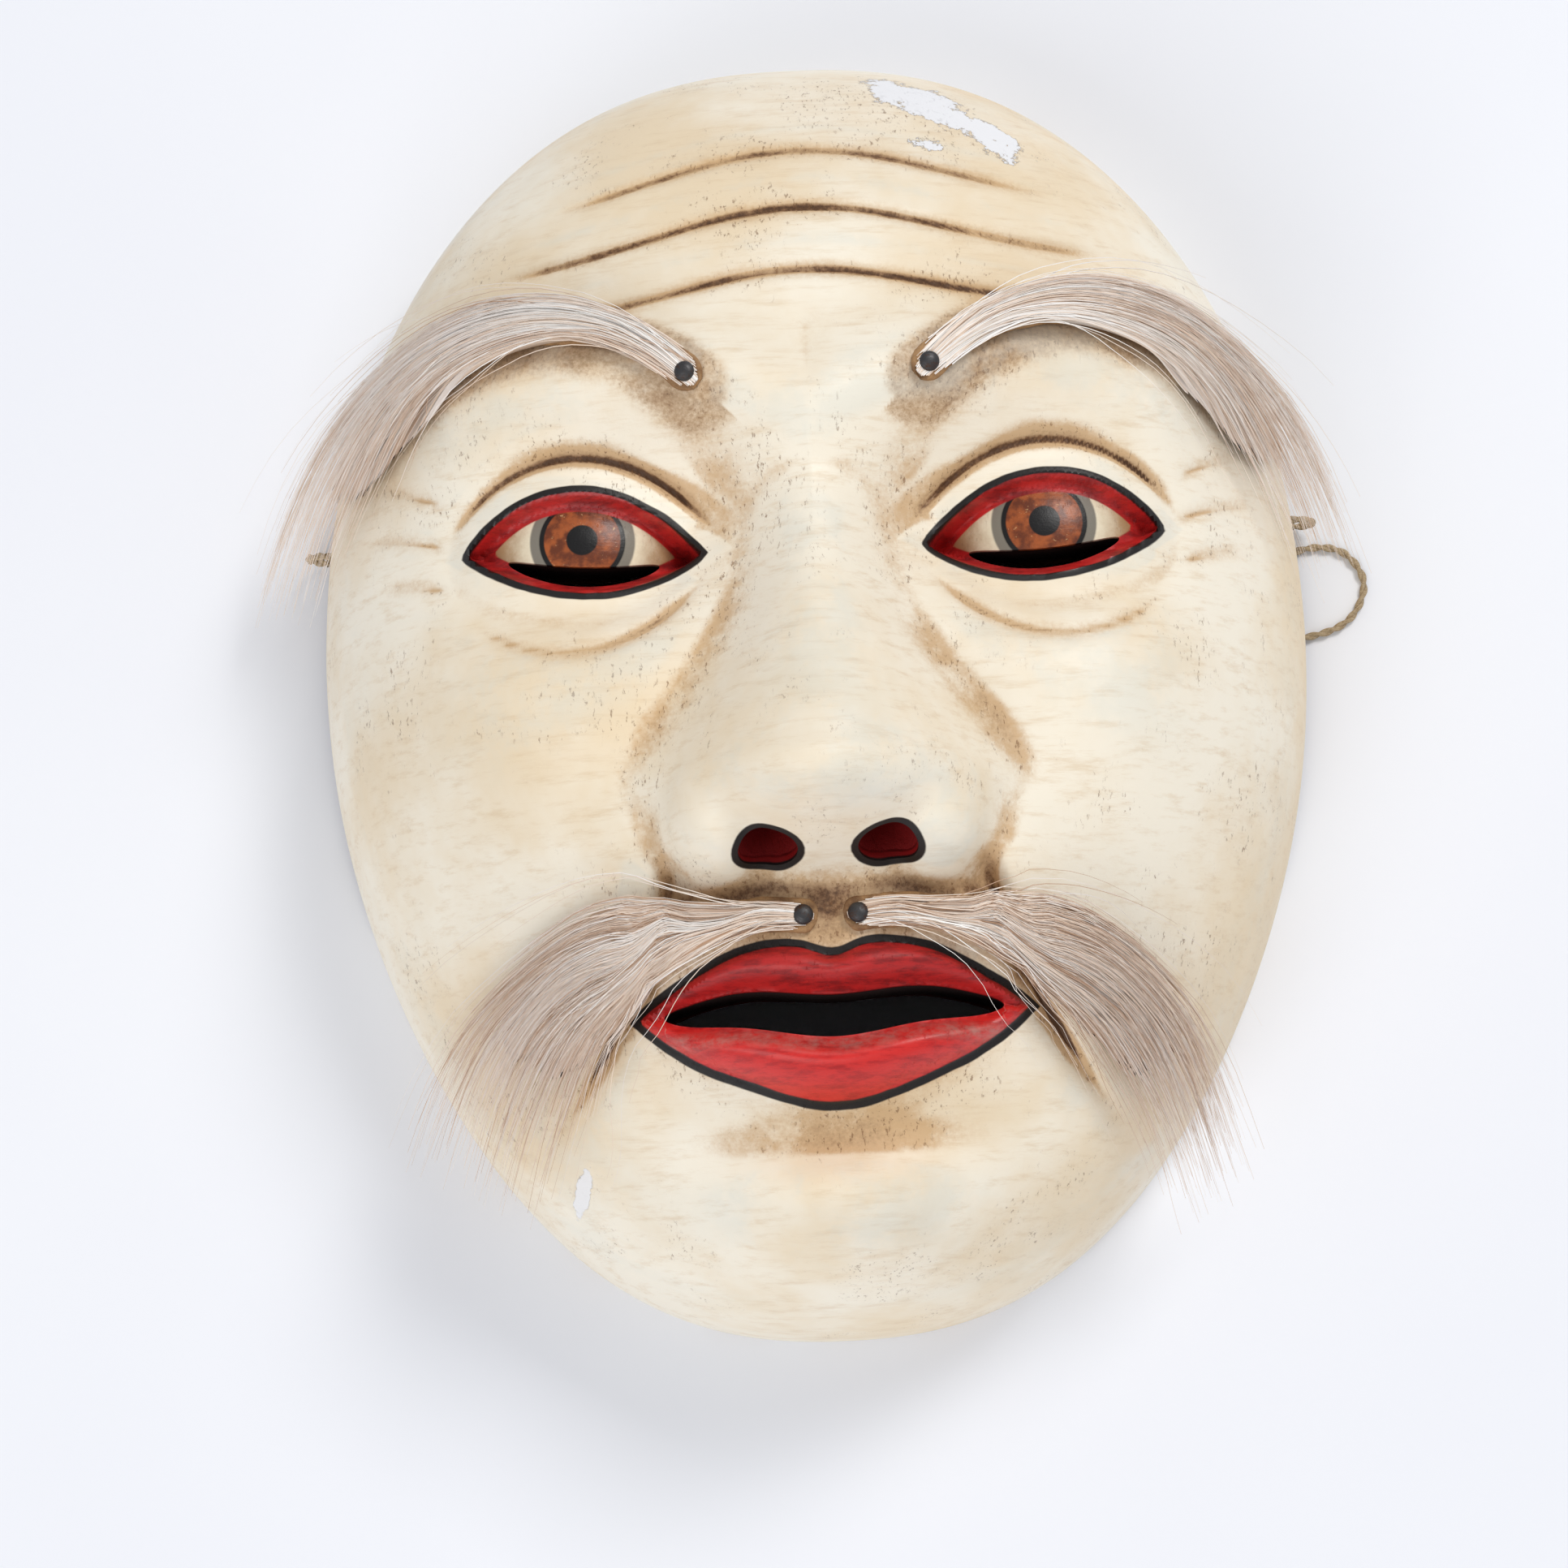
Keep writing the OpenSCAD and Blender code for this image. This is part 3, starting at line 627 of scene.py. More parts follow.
def trefoil(centre, size, turn):
    """A tight knot of twine round a point."""
    t = np.linspace(0, 2 * math.pi, 160, endpoint=False)
    x, y, z = np.sin(t) + 2 * np.sin(2 * t), np.cos(t) - 2 * np.cos(2 * t), -1.3 * np.sin(3 * t)
    p = np.stack([x, y, z], -1) * size / 3
    c, s = math.cos(turn), math.sin(turn)
    rotated = np.stack([p[:, 0] * c - p[:, 2] * s, p[:, 1], p[:, 0] * s + p[:, 2] * c], -1)
    return rotated + centre


def join(name, objects):
    bpy.ops.object.select_all(action="DESELECT")
    for obj in objects:
        obj.select_set(True)
    bpy.context.view_layer.objects.active = objects[0]
    bpy.ops.object.join()
    objects[0].name = name
    return objects[0]


def make_knot(side, name):
    centre = np.array([side * KNOT_X, CORD_HOLE_Y, (LOOP_LOW + CORD_HOLE_Z) / 2])
    r = CORD_D / 2
    parts = [sweep_twine(name, knot_loop(side), r, closed=True),
             sweep_twine("knot", trefoil(centre, KNOT_D / 2 - r, 0.6 * side), r, closed=True, turn=3.2)]
    for k, (dy, dz) in enumerate(((3.5, -1.8), (5.5, 0.6))):
        tail = [centre + [side * 0.6, 0.8, 0.4],
                centre + [-side * 0.5, 0.5 * dy + 1.0, 0.8 + 0.5 * dz],
                centre + [-side * (1.5 + k), dy + 1.5, dz - 0.5],
                centre + [-side * (2.0 + 2 * k), dy + 4.0, dz - 1.5]]
        parts.append(sweep_twine("tail", smooth_line(tail, TWINE_STEP), r * 0.92))
    return join(name, parts)


# ---- hair and hide


def line_point(line, t):
    """A tuft's middle line on the blank, carried on straight past its end."""
    u = np.clip(t, 0, 1)[..., None]
    v = 1 - u
    p = v ** 3 * line[0] + 3 * u * v ** 2 * line[1] + 3 * u * u * v * line[2] + u ** 3 * line[3]
    return p + np.maximum(t - 1, 0)[..., None] * 3 * (line[3] - line[2])


def line_side(line, t):
    d = line_point(line, t + 0.01) - line_point(line, t - 0.01)
    return unit(np.stack([-d[..., 1], d[..., 0]], -1))


def drape(x, y):
    s = reach(x, y)
    q = np.minimum(1, LEAVE_AT / np.maximum(s, 1e-6))
    return face(q * x, q * y) - LEAVE_SLOPE * BLANK[0] * np.maximum(0, s - LEAVE_AT)


def lifted(x, y, h):
    """Points h over the drape, along its normal."""
    e = 0.8
    dx = (drape(x + e, y) - drape(x - e, y)) / (2 * e)
    dy = (drape(x, y + e) - drape(x, y - e)) / (2 * e)
    n = unit(np.stack([-dx, -dy, np.ones_like(dx)], -1))
    return np.stack([x, y, drape(x, y)], -1) + h[..., None] * n


def over_ground(x, y, h):
    """Points h over a smooth cover of the drape, which bridges its grooves and lips."""
    around = [drape(x + 2.6 * math.cos(a), y + 2.6 * math.sin(a)) for a in np.arange(6) * math.pi / 3]
    near = np.stack([drape(x, y)] + around)
    ground = 0.5 * near.max(0) + 0.5 * near.mean(0)
    dx = (drape(x + 6, y) - drape(x - 6, y)) / 12
    dy = (drape(x, y + 6) - drape(x, y - 6)) / 12
    n = unit(np.stack([-dx, -dy, np.ones_like(dx)], -1))
    return np.stack([x, y, ground], -1) + h[..., None] * n


def fullness(t):
    return (0.5 + 0.5 * ease(0.02, 0.5, t)) * (1 - 0.25 * ease(0.75, 1, t))


def strand_mesh(name, points, radius, tone, roll):
    """Three-sided hairs along (hairs, points, 3), thinner to their tips; tone is each hair's own number.

    One side of each hair faces up, turned by the hair's roll.
    """
    hairs, count, _ = points.shape
    along = unit(np.gradient(points, axis=1))
    side = unit(np.cross(along, [0.2, 0.1, 1.0]))
    up = np.cross(along, side)
    u = np.linspace(0, 1, count)
    taper = (1 - 0.75 * u ** 1.5)[None, :, None, None] * radius[:, None, None, None]
    a = (math.pi / 2 + 2 * math.pi * np.arange(3) / 3 + roll[:, None])[:, None, :, None]
    ring = np.cos(a) * side[:, :, None] + np.sin(a) * up[:, :, None]
    vertices = (points[:, :, None] + taper * ring).reshape(-1, 3)
    quads = grid_faces(count, 3)
    faces = (quads[None] + (np.arange(hairs) * count * 3)[:, None, None]).reshape(-1, 4)
    root = np.arange(hairs)[:, None] * count * 3
    ends = np.concatenate([root + [[2, 1, 0]], root + (count - 1) * 3 + [[0, 1, 2]]])
    obj = add_mesh(name, vertices, faces, ends)
    obj.data.polygons.foreach_set("use_smooth", np.zeros(len(obj.data.polygons), bool))
    set_attribute(obj, "tone", np.repeat(tone, count * 3))
    set_attribute(obj, "along", np.tile(np.repeat(u, 3), hairs))
    return obj


def eased_heights(points):
    """Takes the jumps out of the heights along each hair, without letting it sink."""
    z = points[..., 2]
    passes = round(6 * (z.shape[1] / HAIR_POINTS) ** 2)
    for _ in range(passes):
        smoothed = z.copy()
        smoothed[:, 1:-1] = (z[:, :-2] + 2 * z[:, 1:-1] + z[:, 2:]) / 4
        z = np.maximum(z - HAIR_SINK / passes, smoothed)
    return np.concatenate([points[..., :2], np.maximum(z, 1.0 + 0.15 * z)[..., None]], -1)


class Tuft:
    """The flow of a tuft's hair, which roots along its hide and sweeps out along the tuft's line.

    spread is how far the hair fans at its end, lean how far the fan's middle shifts to the line's left, and
    shade how much darker than pale its hair is.
    """

    def __init__(self, line, side, width, depth, hide_end, spread, lean, shade, seed):
        self.line, self.side, self.width, self.depth = line, side, width, depth
        self.hide_end, self.spread, self.lean = hide_end, spread, lean
        self.rng = np.random.default_rng(seed)
        self.tones = shade + self.rng.uniform(-0.5, 0.5, 60)
        self.bulks = self.rng.uniform(-0.04, 0.04, 36)

    def lock_tone(self, target):
        """Tone that changes from lock to lock across the tuft."""
        return np.interp(target, np.linspace(-1.2, 1.2, len(self.tones)), self.tones)

    def lock_level(self, target):
        """Height of each lock, as a share of the tuft's depth."""
        return 0.7 + np.interp(target, np.linspace(-1.2, 1.2, len(self.bulks)), self.bulks)

    def paths(self, root, tip, across, target, level, count, sway, lift):
        """Points of each hair from its root to its tip, in mm.

        root and tip are places along the line, across and target places across the tuft at the root and
        the tip, and level the height. Each is one number a hair. sway and lift shift every point.
        """
        u = np.linspace(0, 1, count)[None, :]
        root, tip, across, target, level = (q[:, None] for q in (root, tip, across, target, level))
        t = root + (tip - root) * u
        fan = self.width / 2 * fullness(np.minimum(t, 1)) + self.spread * ease(0.45, 1.05, t) ** 1.5
        shift = self.lean * ease(0.4, 1.05, t) ** 1.5
        turn = 1 - (1 - u) ** 1.6
        round_end = np.sqrt(np.clip(1 - (1 - np.minimum(root / 0.07, 1)) ** 2, 0.05, 1))
        v = across * round_end * HIDE_WIDTH * 0.5 * (1 - turn) + (target * fan + shift) * turn + sway
        crown = np.sqrt(np.clip(1 - (target * turn) ** 2, 0.1, 1))
        rise = (1 - (1 - u) ** 3) * (1 - 0.45 * ease(0.7, 1.05, t))
        h = HIDE_LIFT + HIDE_THICK + 0.1 + self.depth * level * crown * rise + lift
        p = line_point(self.line, t) + v[..., None] * line_side(self.line, t)
        return eased_heights(over_ground(p[..., 0], p[..., 1], h)) * [self.side, 1, 1]

    def hairs(self, number, ends):
        """Single hairs on and over the undercoat, with a few strays, and a number for each one's colour."""
        rng = self.rng
        clumps = 90
        root = self.hide_end * rng.uniform(0, 1, number) ** 1.7
        tip = rng.uniform(*ends, number) - 0.12 * (1 - root / self.hide_end) * rng.uniform(0, 1, number)
        across = rng.uniform(-1, 1, number)
        clump = rng.integers(0, clumps, number)
        clump_v, clump_h = rng.uniform(-1, 1, clumps), rng.uniform(0, 1, clumps)
        target = 0.72 * across + 0.34 * clump_v[clump]
        loose = 0.6 * rng.uniform(0, 1, number) + 0.4 * clump_h[clump]
        stray = rng.uniform(0, 1, number) > 0.96
        target = np.where(stray, rng.uniform(-1.7, 1.7, number), target)
        tip = np.where(stray, tip * rng.uniform(0.8, 1.06, number), tip)
        u = np.linspace(0, 1, HAIR_POINTS)[None, :]
        phase = rng.uniform(0, 2 * math.pi, (number, 2))
        sway = 0.3 * u * np.sin(3 * u + phase[:, :1]) + 0.14 * u * np.sin(9 * u + phase[:, 1:])
        sway = (sway + 0.9 * rng.normal(0, 1, number)[:, None] * u ** 2) * np.where(stray, 2.2, 1)[:, None]
        lift = 0.02 + 0.2 * loose[:, None] + np.where(stray, 1.4, 0)[:, None] * u ** 1.5
        level = self.lock_level(target) + 0.02
        points = self.paths(root, tip, across, target, level, HAIR_POINTS, sway, lift)
        return points, self.lock_tone(target) + 0.22 * rng.normal(0, 1, number)

    def undercoat(self, name, end):
        """A closed coat of fine ridges that follow the hair, so that no gap opens between the hairs."""
        lanes, count, rng = 150, 70, self.rng
        edge = np.linspace(-1, 1, lanes)
        ragged = end * (1 - 0.22 * edge ** 4 - 0.05 * rng.uniform(0, 1, lanes))
        target = 0.78 * edge
        lift = np.where(np.arange(lanes) % 2, 0.015, -0.015)[:, None]
        lift = lift - (self.depth * 0.5 + 0.9) * ease(0.6, 1.0, np.linspace(0, 1, count))[None, :] ** 1.5
        zero = np.zeros(lanes)
        top = self.paths(zero, ragged, edge, target, self.lock_level(target), count, 0.0, lift)
        under = self.paths(zero, ragged * 0.97, edge * 0.6, edge * 0.55, zero, count, 0.0, -0.7)
        obj = add_flat_tube(name, np.concatenate([top, under[::-1]]).transpose(1, 0, 2))
        tone = np.clip(self.lock_tone(target) + 0.2 * rng.normal(0, 1, lanes), 0, 1)
        set_attribute(obj, "tone", np.tile(np.concatenate([tone, tone[::-1]]), count))
        set_attribute(obj, "along", np.repeat(np.linspace(0, 1, count), 2 * lanes))
        return obj


def make_tuft(name, node, tuft, number, ends):
    points, tone = tuft.hairs(number, ends)
    radius, roll = tuft.rng.uniform(0.05, 0.1, number), tuft.rng.uniform(-0.7, 0.7, number)
    hairs = strand_mesh("hairs", points, radius, np.clip(tone, 0, 1), roll)
    obj = join(name, [tuft.undercoat(name, ends[0] + 0.14), hairs])
    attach(obj, "root")
    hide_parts(node)
    return obj


def make_hide(name, node, line, side, end, seed):
    """A thin strip of dry hide that follows the wood, a little ragged along its edges."""
    rng = np.random.default_rng(seed)
    rows, across = 60, 12
    t = np.linspace(-0.004, end, rows)
    c = line_point(line, np.maximum(t, 0)) + np.minimum(t, 0)[:, None] * 40
    n = line_side(line, np.maximum(t, 0.01))
    ragged = 1 + 0.07 * np.convolve(rng.normal(0, 1, rows + 4), np.ones(5) / 5, "valid")
    rounded = np.sqrt(np.clip(1 - np.maximum(0, 1 - np.arange(rows) / 4) ** 2, 0.12, 1))
    w = HIDE_WIDTH / 2 * ragged * rounded * np.where(np.arange(rows) == rows - 1, 0.8, 1)
    v = np.linspace(-1, 1, across + 1)
    p = c[:, None] + (v[None, :] * w[:, None])[..., None] * n[:, None]
    curl = 0.25 * np.abs(v) ** 4 + 0.06 * rng.normal(0, 1, (rows, across + 1))
    low = lifted(p[..., 0], p[..., 1], HIDE_LIFT + np.maximum(0, 0.6 * curl))
    top = lifted(p[..., 0], p[..., 1], HIDE_LIFT + HIDE_THICK * (1 - 0.5 * np.abs(v) ** 8) + 0.7 * curl)
    obj = add_flat_tube(name, np.concatenate([low, top[:, ::-1]], 1) * [side, 1, 1])
    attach(obj, "root")
    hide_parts(node)
    return obj


# ---- materials


def srgb(r, g, b):
    channel = [c / 255 for c in (r, g, b)]
    return tuple(c / 12.92 if c <= 0.04045 else ((c + 0.055) / 1.055) ** 2.4 for c in channel) + (1.0,)


class Paint:
    """A material's nodes, built with short calls. A share is a number from 0 to 1."""

    def __init__(self, name):
        self.material = bpy.data.materials.new(name)
        self.material.use_nodes = True
        self.nodes, self.links = self.material.node_tree.nodes, self.material.node_tree.links
        self.shader = self.nodes["Principled BSDF"]

    def put(self, socket, value):
        if isinstance(value, bpy.types.NodeSocket):
            self.links.new(value, socket)
        else:
            socket.default_value = value

    def math(self, operation, a, b=0.0, c=0.0):
        node = self.nodes.new("ShaderNodeMath")
        node.operation = operation
        for socket, value in zip(node.inputs, (a, b, c)):
            self.put(socket, value)
        return node.outputs[0]

    def add(self, a, b):
        return self.math("ADD", a, b)

    def times(self, a, b):
        return self.math("MULTIPLY", a, b)

    def most(self, a, b):
        return self.math("MAXIMUM", a, b)

    def flip(self, a):
        return self.math("SUBTRACT", 1.0, a)

    def attribute(self, name):
        node = self.nodes.new("ShaderNodeAttribute")
        node.attribute_name = name
        return node.outputs["Fac"]

    def span(self, value, low, high, to_low=0.0, to_high=1.0):
        """Where a value lies from low to high, as a share with soft ends."""
        node = self.nodes.new("ShaderNodeMapRange")
        node.interpolation_type = "SMOOTHSTEP"
        for socket, number in zip(node.inputs, (value, low, high, to_low, to_high)):
            self.put(socket, number)
        return node.outputs[0]

    def band(self, value, low, high, soft):
        """1 from low to high, 0 elsewhere."""
        rising, falling = self.span(value, low - soft, low + soft), self.span(value, high + soft, high - soft)
        return self.times(rising, falling)

    def mix(self, share, a, b):
        """A mix of two colours, each of them a socket or its red, green and blue from 0 to 255."""
        node = self.nodes.new("ShaderNodeMix")
        node.data_type = "RGBA"
        self.put(node.inputs[0], share)
        for number, colour in ((6, a), (7, b)):
            self.put(node.inputs[number], srgb(*colour) if isinstance(colour, tuple) else colour)
        return node.outputs[2]

    def place(self, stretch):
        coordinate = self.nodes.new("ShaderNodeTexCoord")
        mapping = self.nodes.new("ShaderNodeMapping")
        mapping.inputs["Scale"].default_value = stretch
        self.links.new(coordinate.outputs["Object"], mapping.inputs["Vector"])
        return mapping.outputs[0]

    def noise(self, scale, detail=4.0, rough=0.55, stretch=(1, 1, 1), distortion=0.0):
        """Noise about 1/scale metres across."""
        node = self.nodes.new("ShaderNodeTexNoise")
        self.links.new(self.place(stretch), node.inputs["Vector"])
        settings = {"Scale": scale, "Detail": detail, "Roughness": rough, "Distortion": distortion}
        for name, number in settings.items():
            node.inputs[name].default_value = number
        return node.outputs[0]

    def bump(self, height, distance, strength):
        node = self.nodes.new("ShaderNodeBump")
        node.inputs["Strength"].default_value = strength
        node.inputs["Distance"].default_value = distance
        self.put(node.inputs["Height"], height)
        return node.outputs[0]

    def finish(self, colour, rough, normal=None, metallic=0.0, specular=0.5):
        self.put(self.shader.inputs["Base Color"], colour)
        self.put(self.shader.inputs["Roughness"], rough)
        self.shader.inputs["Metallic"].default_value = metallic
        self.shader.inputs["Specular IOR Level"].default_value = specular
        if normal is not None:
            self.put(self.shader.inputs["Normal"], normal)
        return self.material


def painted_wood():
    p = Paint("painted_wood")
    depth, fine, wide = p.attribute("depth"), p.attribute("fine"), p.attribute("wide")
    line, lid, iris = p.attribute("line"), p.attribute("lid"), p.attribute("iris")
    lip, gap, nostril = p.attribute("lip"), p.attribute("gap"), p.attribute("nostril")

    # Cream paint, warmer in cloudy patches, with the streaks that a brush leaves.
    cloud = p.noise(24, 5, 0.6)
    streak = p.noise(120, 6, 0.7, (0.8, 6, 2))
    speck = p.noise(1500, 3, 0.7)
    mottle = p.noise(75, 6, 0.7)
    cream = p.mix(p.span(cloud, 0.38, 0.66), (252, 243, 224), (241, 221, 188))
    cream = p.mix(p.span(streak, 0.48, 0.75, 0, 0.5), cream, (222, 194, 154))

    # Tan round the hollows, dark brown at the bottom of each line: a wash rubbed into the carving, together
    # with painted shade in the hollows and folds.
    # Painted shadow under each tuft, with some dirty glue, on the wood round its strip.
    shadow_and_dirt = p.attribute("tuft_shadow_and_dirt")
    grain = p.add(p.times(p.add(mottle, -0.5), 1.5), p.times(p.add(speck, -0.5), 0.9))
    hollowed = p.times(p.span(wide, 0.0, 0.14), p.span(mottle, 0.3, 0.62, 0.45, 1.1))
    hollowed = p.add(hollowed, p.span(fine, 0.02, 0.9, 0, 0.6))
    wash_and_hollow_shade = p.add(p.add(hollowed, p.times(line, 0.8)), p.times(shadow_and_dirt, 0.9))
    wash_and_hollow_shade = p.add(wash_and_hollow_shade, p.times(grain, p.span(wash_and_hollow_shade, 0.0, 0.5, 0.25, 0.8)))
    wash_and_hollow_shade = p.add(wash_and_hollow_shade, p.times(p.span(p.noise(14, 4), 0.45, 0.75), 0.35))
    painted = p.mix(p.span(wash_and_hollow_shade, 0.05, 1.25, 0, 0.85), cream, (208, 170, 122))
    worn = p.span(p.noise(38, 5, 0.7), 0.35, 0.65, 0.4, 1.0)
    # Darker brown deep in the hollows, in the lines and round the tufts: grime, together with painted shade.
    grime_and_hollow_shade = p.add(p.times(p.span(wide, 0.05, 0.22), 0.45), p.times(p.span(fine, 0.3, 1.6), 0.4))
    grime_and_hollow_shade = p.add(grime_and_hollow_shade, p.times(p.span(line, 0.62, 0.98), worn))
    grime_and_hollow_shade = p.add(p.add(grime_and_hollow_shade, p.times(shadow_and_dirt, 0.62)), p.times(grain, 0.75))
    painted = p.mix(p.span(grime_and_hollow_shade, 0.3, 1.1, 0, 0.88), painted, (122, 82, 50))
    painted = p.mix(p.span(p.add(grime_and_hollow_shade, p.times(speck, 0.6)), 1.05, 1.6, 0, 0.8), painted, (72, 46, 29))
    dashes = p.span(p.noise(1150, 4, 0.75, (1.6, 0.6, 1)), 0.58, 0.66)
    pits = p.times(dashes, p.span(p.add(p.noise(55, 4, 0.7), p.times(wash_and_hollow_shade, 0.16)), 0.5, 0.64))
    painted = p.mix(p.times(pits, 0.7), painted, (138, 98, 64))
    rubbed = p.times(p.span(wide, -0.02, -0.09), p.span(p.noise(60, 5, 0.7), 0.4, 0.62))
    painted = p.mix(p.times(rubbed, 0.35), painted, (222, 226, 218))
    wash_grime_and_shade = p.math("MINIMUM", p.add(wash_and_hollow_shade, grime_and_hollow_shade), 1.0)

    # Flaked paint that shows the white ground, with a thin dark edge.
    flake = p.add(p.attribute("chips"), p.times(p.add(p.noise(170, 8, 0.72), -0.5), 2.4))
    flaked = p.span(flake, 0.86, 0.9)
    edge = p.band(flake, 0.83, 0.88, 0.02)
    scuffed = p.span(p.add(p.attribute("scuff"), p.times(p.add(p.noise(500, 4), -0.5), 0.8)), 0.5, 0.6)
    painted = p.mix(p.times(edge, 0.55), painted, (140, 116, 90))
    painted = p.mix(p.most(flaked, p.times(scuffed, 0.85)), painted, (243, 243, 245))

    # Eyes: red bevelled lids, a cream ball with dirt under it, and a painted iris.
    red = p.mix(p.span(p.noise(160, 5, 0.7, (1, 4, 1)), 0.35, 0.7), (196, 38, 36), (122, 22, 24))
    dusty = p.span(p.add(iris, p.times(p.noise(420, 4, 0.7), 4.0)), 8.5, 14)
    ball = p.mix(dusty, (240, 228, 200), (176, 142, 100))
    ring = p.mix(p.band(iris, 5.9, 7.3, 0.18), ball, (130, 124, 112))
    flakes = p.span(p.noise(900, 4, 0.8), 0.62, 0.68)
    amber = p.mix(p.span(p.noise(500, 3), 0.35, 0.65), (168, 88, 42), (104, 50, 26))
    amber = p.mix(p.times(flakes, 0.7), amber, (214, 170, 120))
    ring = p.mix(p.span(iris, 5.9, 5.6), ring, amber)
    ring = p.mix(p.band(iris, 5.3, 6.0, 0.12), ring, (20, 18, 17))
    ring = p.mix(p.span(iris, 2.3, 2.05), ring, (14, 12, 12))
    eye = p.mix(p.span(lid, 2.55, 2.85), red, ring)
    seen = p.mix(p.span(lid, 0.0, 0.2), painted, eye)
    wobble = p.times(p.add(p.noise(160, 2), -0.5), 0.5)
    seen = p.mix(p.band(p.add(lid, wobble), -0.65, 0.35, 0.12), seen, (22, 18, 17))

    # Lips: red, with painted shade making the upper lip darker, dusty along the gap, with a black outline.
    lower = p.mix(p.span(p.noise(120, 5, 0.7, (2, 9, 2)), 0.4, 0.7), (218, 42, 38), (176, 24, 26))
    # The darker red of the upper lip is painted shade.
    upper = p.mix(p.span(p.noise(120, 5, 0.7, (2, 9, 2)), 0.4, 0.7), (186, 34, 33), (128, 22, 24))
    lips = p.mix(p.span(gap, -0.5, 0.5), lower, upper)
    dust = p.times(p.band(gap, -4.8, -2.8, 1.0), p.span(p.noise(420, 6, 0.75), 0.3, 0.75))
    lips = p.mix(p.times(dust, 0.6), lips, (180, 150, 138))
    seen = p.mix(p.span(lip, 0.0, 0.2), seen, lips)
    seen = p.mix(p.band(p.add(lip, wobble), -0.75, 0.4, 0.12), seen, (24, 19, 18))

    # Nostrils: a black rim, and red inside.
    nose_rim = p.times(p.span(p.add(nostril, wobble), 1.15, 0.85), p.span(depth, 0.9, 0.6))
    seen = p.mix(nose_rim, seen, (26, 20, 18))
    in_nose = p.times(p.span(nostril, 0.5, 0.3), p.span(depth, 0.25, 0.6))
    seen = p.mix(in_nose, seen, (150, 26, 26))

    # Bare wood inside, stained dark, with the grain running from chin to forehead.
    grain_lines = p.noise(60, 8, 0.7, (9, 0.7, 9), 0.6)
    timber = p.mix(p.span(grain_lines, 0.35, 0.68), (168, 124, 82), (112, 76, 47))
    timber = p.mix(p.span(p.noise(18, 4), 0.45, 0.75, 0, 0.6), timber, (78, 52, 34))
    inner = p.span(p.add(depth, p.times(p.noise(120, 3), 1.2)), 1.7, 2.3)
    in_opening = p.most(p.span(lid, 0.0, 1.0), p.span(nostril, 0.6, 0.3))
    near_opening = p.times(p.most(p.span(lip, -1.0, 0.0), in_opening), p.span(depth, 13, 7))
    bare = p.times(inner, p.flip(near_opening))
    seen = p.mix(bare, seen, timber)
    # Painted shade: the walls deep in the mouth gap and the eye slits are painted near black.
    painted_opening_shade = p.times(p.most(p.span(lip, 0.0, 1.0), p.span(lid, 0.0, 0.6)), p.span(depth, 0.35, 1.2))
    seen = p.mix(p.times(painted_opening_shade, p.flip(bare)), seen, (34, 16, 13))

    # Finish: satin paint, glossier eyes and lips, dry wood and flakes.
    coloured = p.most(p.span(lid, 0.0, 0.3), p.span(lip, 0.0, 0.3))
    rough = p.add(p.span(cloud, 0.3, 0.7, 0.44, 0.56), p.times(p.span(wash_grime_and_shade, 0.2, 1.0), 0.14))
    rough = p.math("SUBTRACT", rough, p.times(coloured, 0.14))
    rough = p.add(rough, p.times(p.most(inner, flaked), 0.2))
    height = p.add(p.times(streak, 0.25), p.times(speck, 0.12))
    height = p.add(height, p.times(p.noise(320, 5, 0.7), 0.35))
    height = p.math("SUBTRACT", height, p.times(p.most(flaked, scuffed), 0.9))
    height = p.math("SUBTRACT", height, p.times(pits, 0.3))
    height = p.add(height, p.times(p.times(grain_lines, inner), 2.0))
    return p.finish(seen, rough, p.bump(height, 0.00022, 0.7), specular=0.42)


def goat_hair():
    p = Paint("goat_hair")
    tone, along = p.attribute("tone"), p.attribute("along")
    pale = p.mix(p.span(tone, 0.05, 0.5), (255, 252, 248), (243, 224, 206))
    tan = p.mix(p.span(tone, 0.5, 1.0), pale, (186, 148, 118))
    tipped = p.mix(p.span(along, 0.3, 0.95, 0, 0.35), tan, (206, 172, 144))
    patchy = p.mix(p.span(p.noise(420, 3), 0.55, 0.8, 0, 0.2), tipped, (218, 192, 170))
    return p.finish(patchy, p.span(tone, 0, 1, 0.34, 0.5))


def raw_hide():
    p = Paint("raw_hide")
    mottle = p.noise(260, 6, 0.65)
    colour = p.mix(p.span(mottle, 0.35, 0.7), (178, 138, 94), (112, 78, 48))
    return p.finish(colour, 0.72, p.bump(p.noise(1400, 5, 0.7), 0.0002, 0.8))


def tack_iron():
    p = Paint("tack_iron")
    spots = p.noise(900, 5, 0.7)
    colour = p.mix(p.span(spots, 0.5, 0.7), (74, 73, 74), (88, 60, 44))
    return p.finish(colour, p.span(spots, 0.4, 0.7, 0.42, 0.75), p.bump(spots, 0.0001, 0.6), metallic=0.75)


def twine_fibre():
    p = Paint("twine_fibre")
    ply = p.attribute("ply")
    fibre = p.noise(2600, 5, 0.75, (1, 3, 1))
    colour = p.mix(p.span(fibre, 0.32, 0.7), (205, 186, 154), (150, 124, 90))
    # Painted shade: the groove between the two plies is darker.
    colour = p.mix(p.span(ply, 0.35, 0.0, 0, 0.7), colour, (96, 74, 50))
    return p.finish(colour, 0.8, p.bump(fibre, 0.00018, 0.8), specular=0.3)


def floor_white():
    p = Paint("floor_white")
    colour = p.mix(p.span(p.noise(6, 3), 0.3, 0.7), (245, 247, 252), (242, 244, 250))
    return p.finish(colour, 0.85, specular=0.2)


def dress(obj, material):
    obj.data.materials.clear()
    obj.data.materials.append(material)


# ---- making the object

twine, hair, hide, wood = twine_fibre(), goat_hair(), raw_hide(), painted_wood()

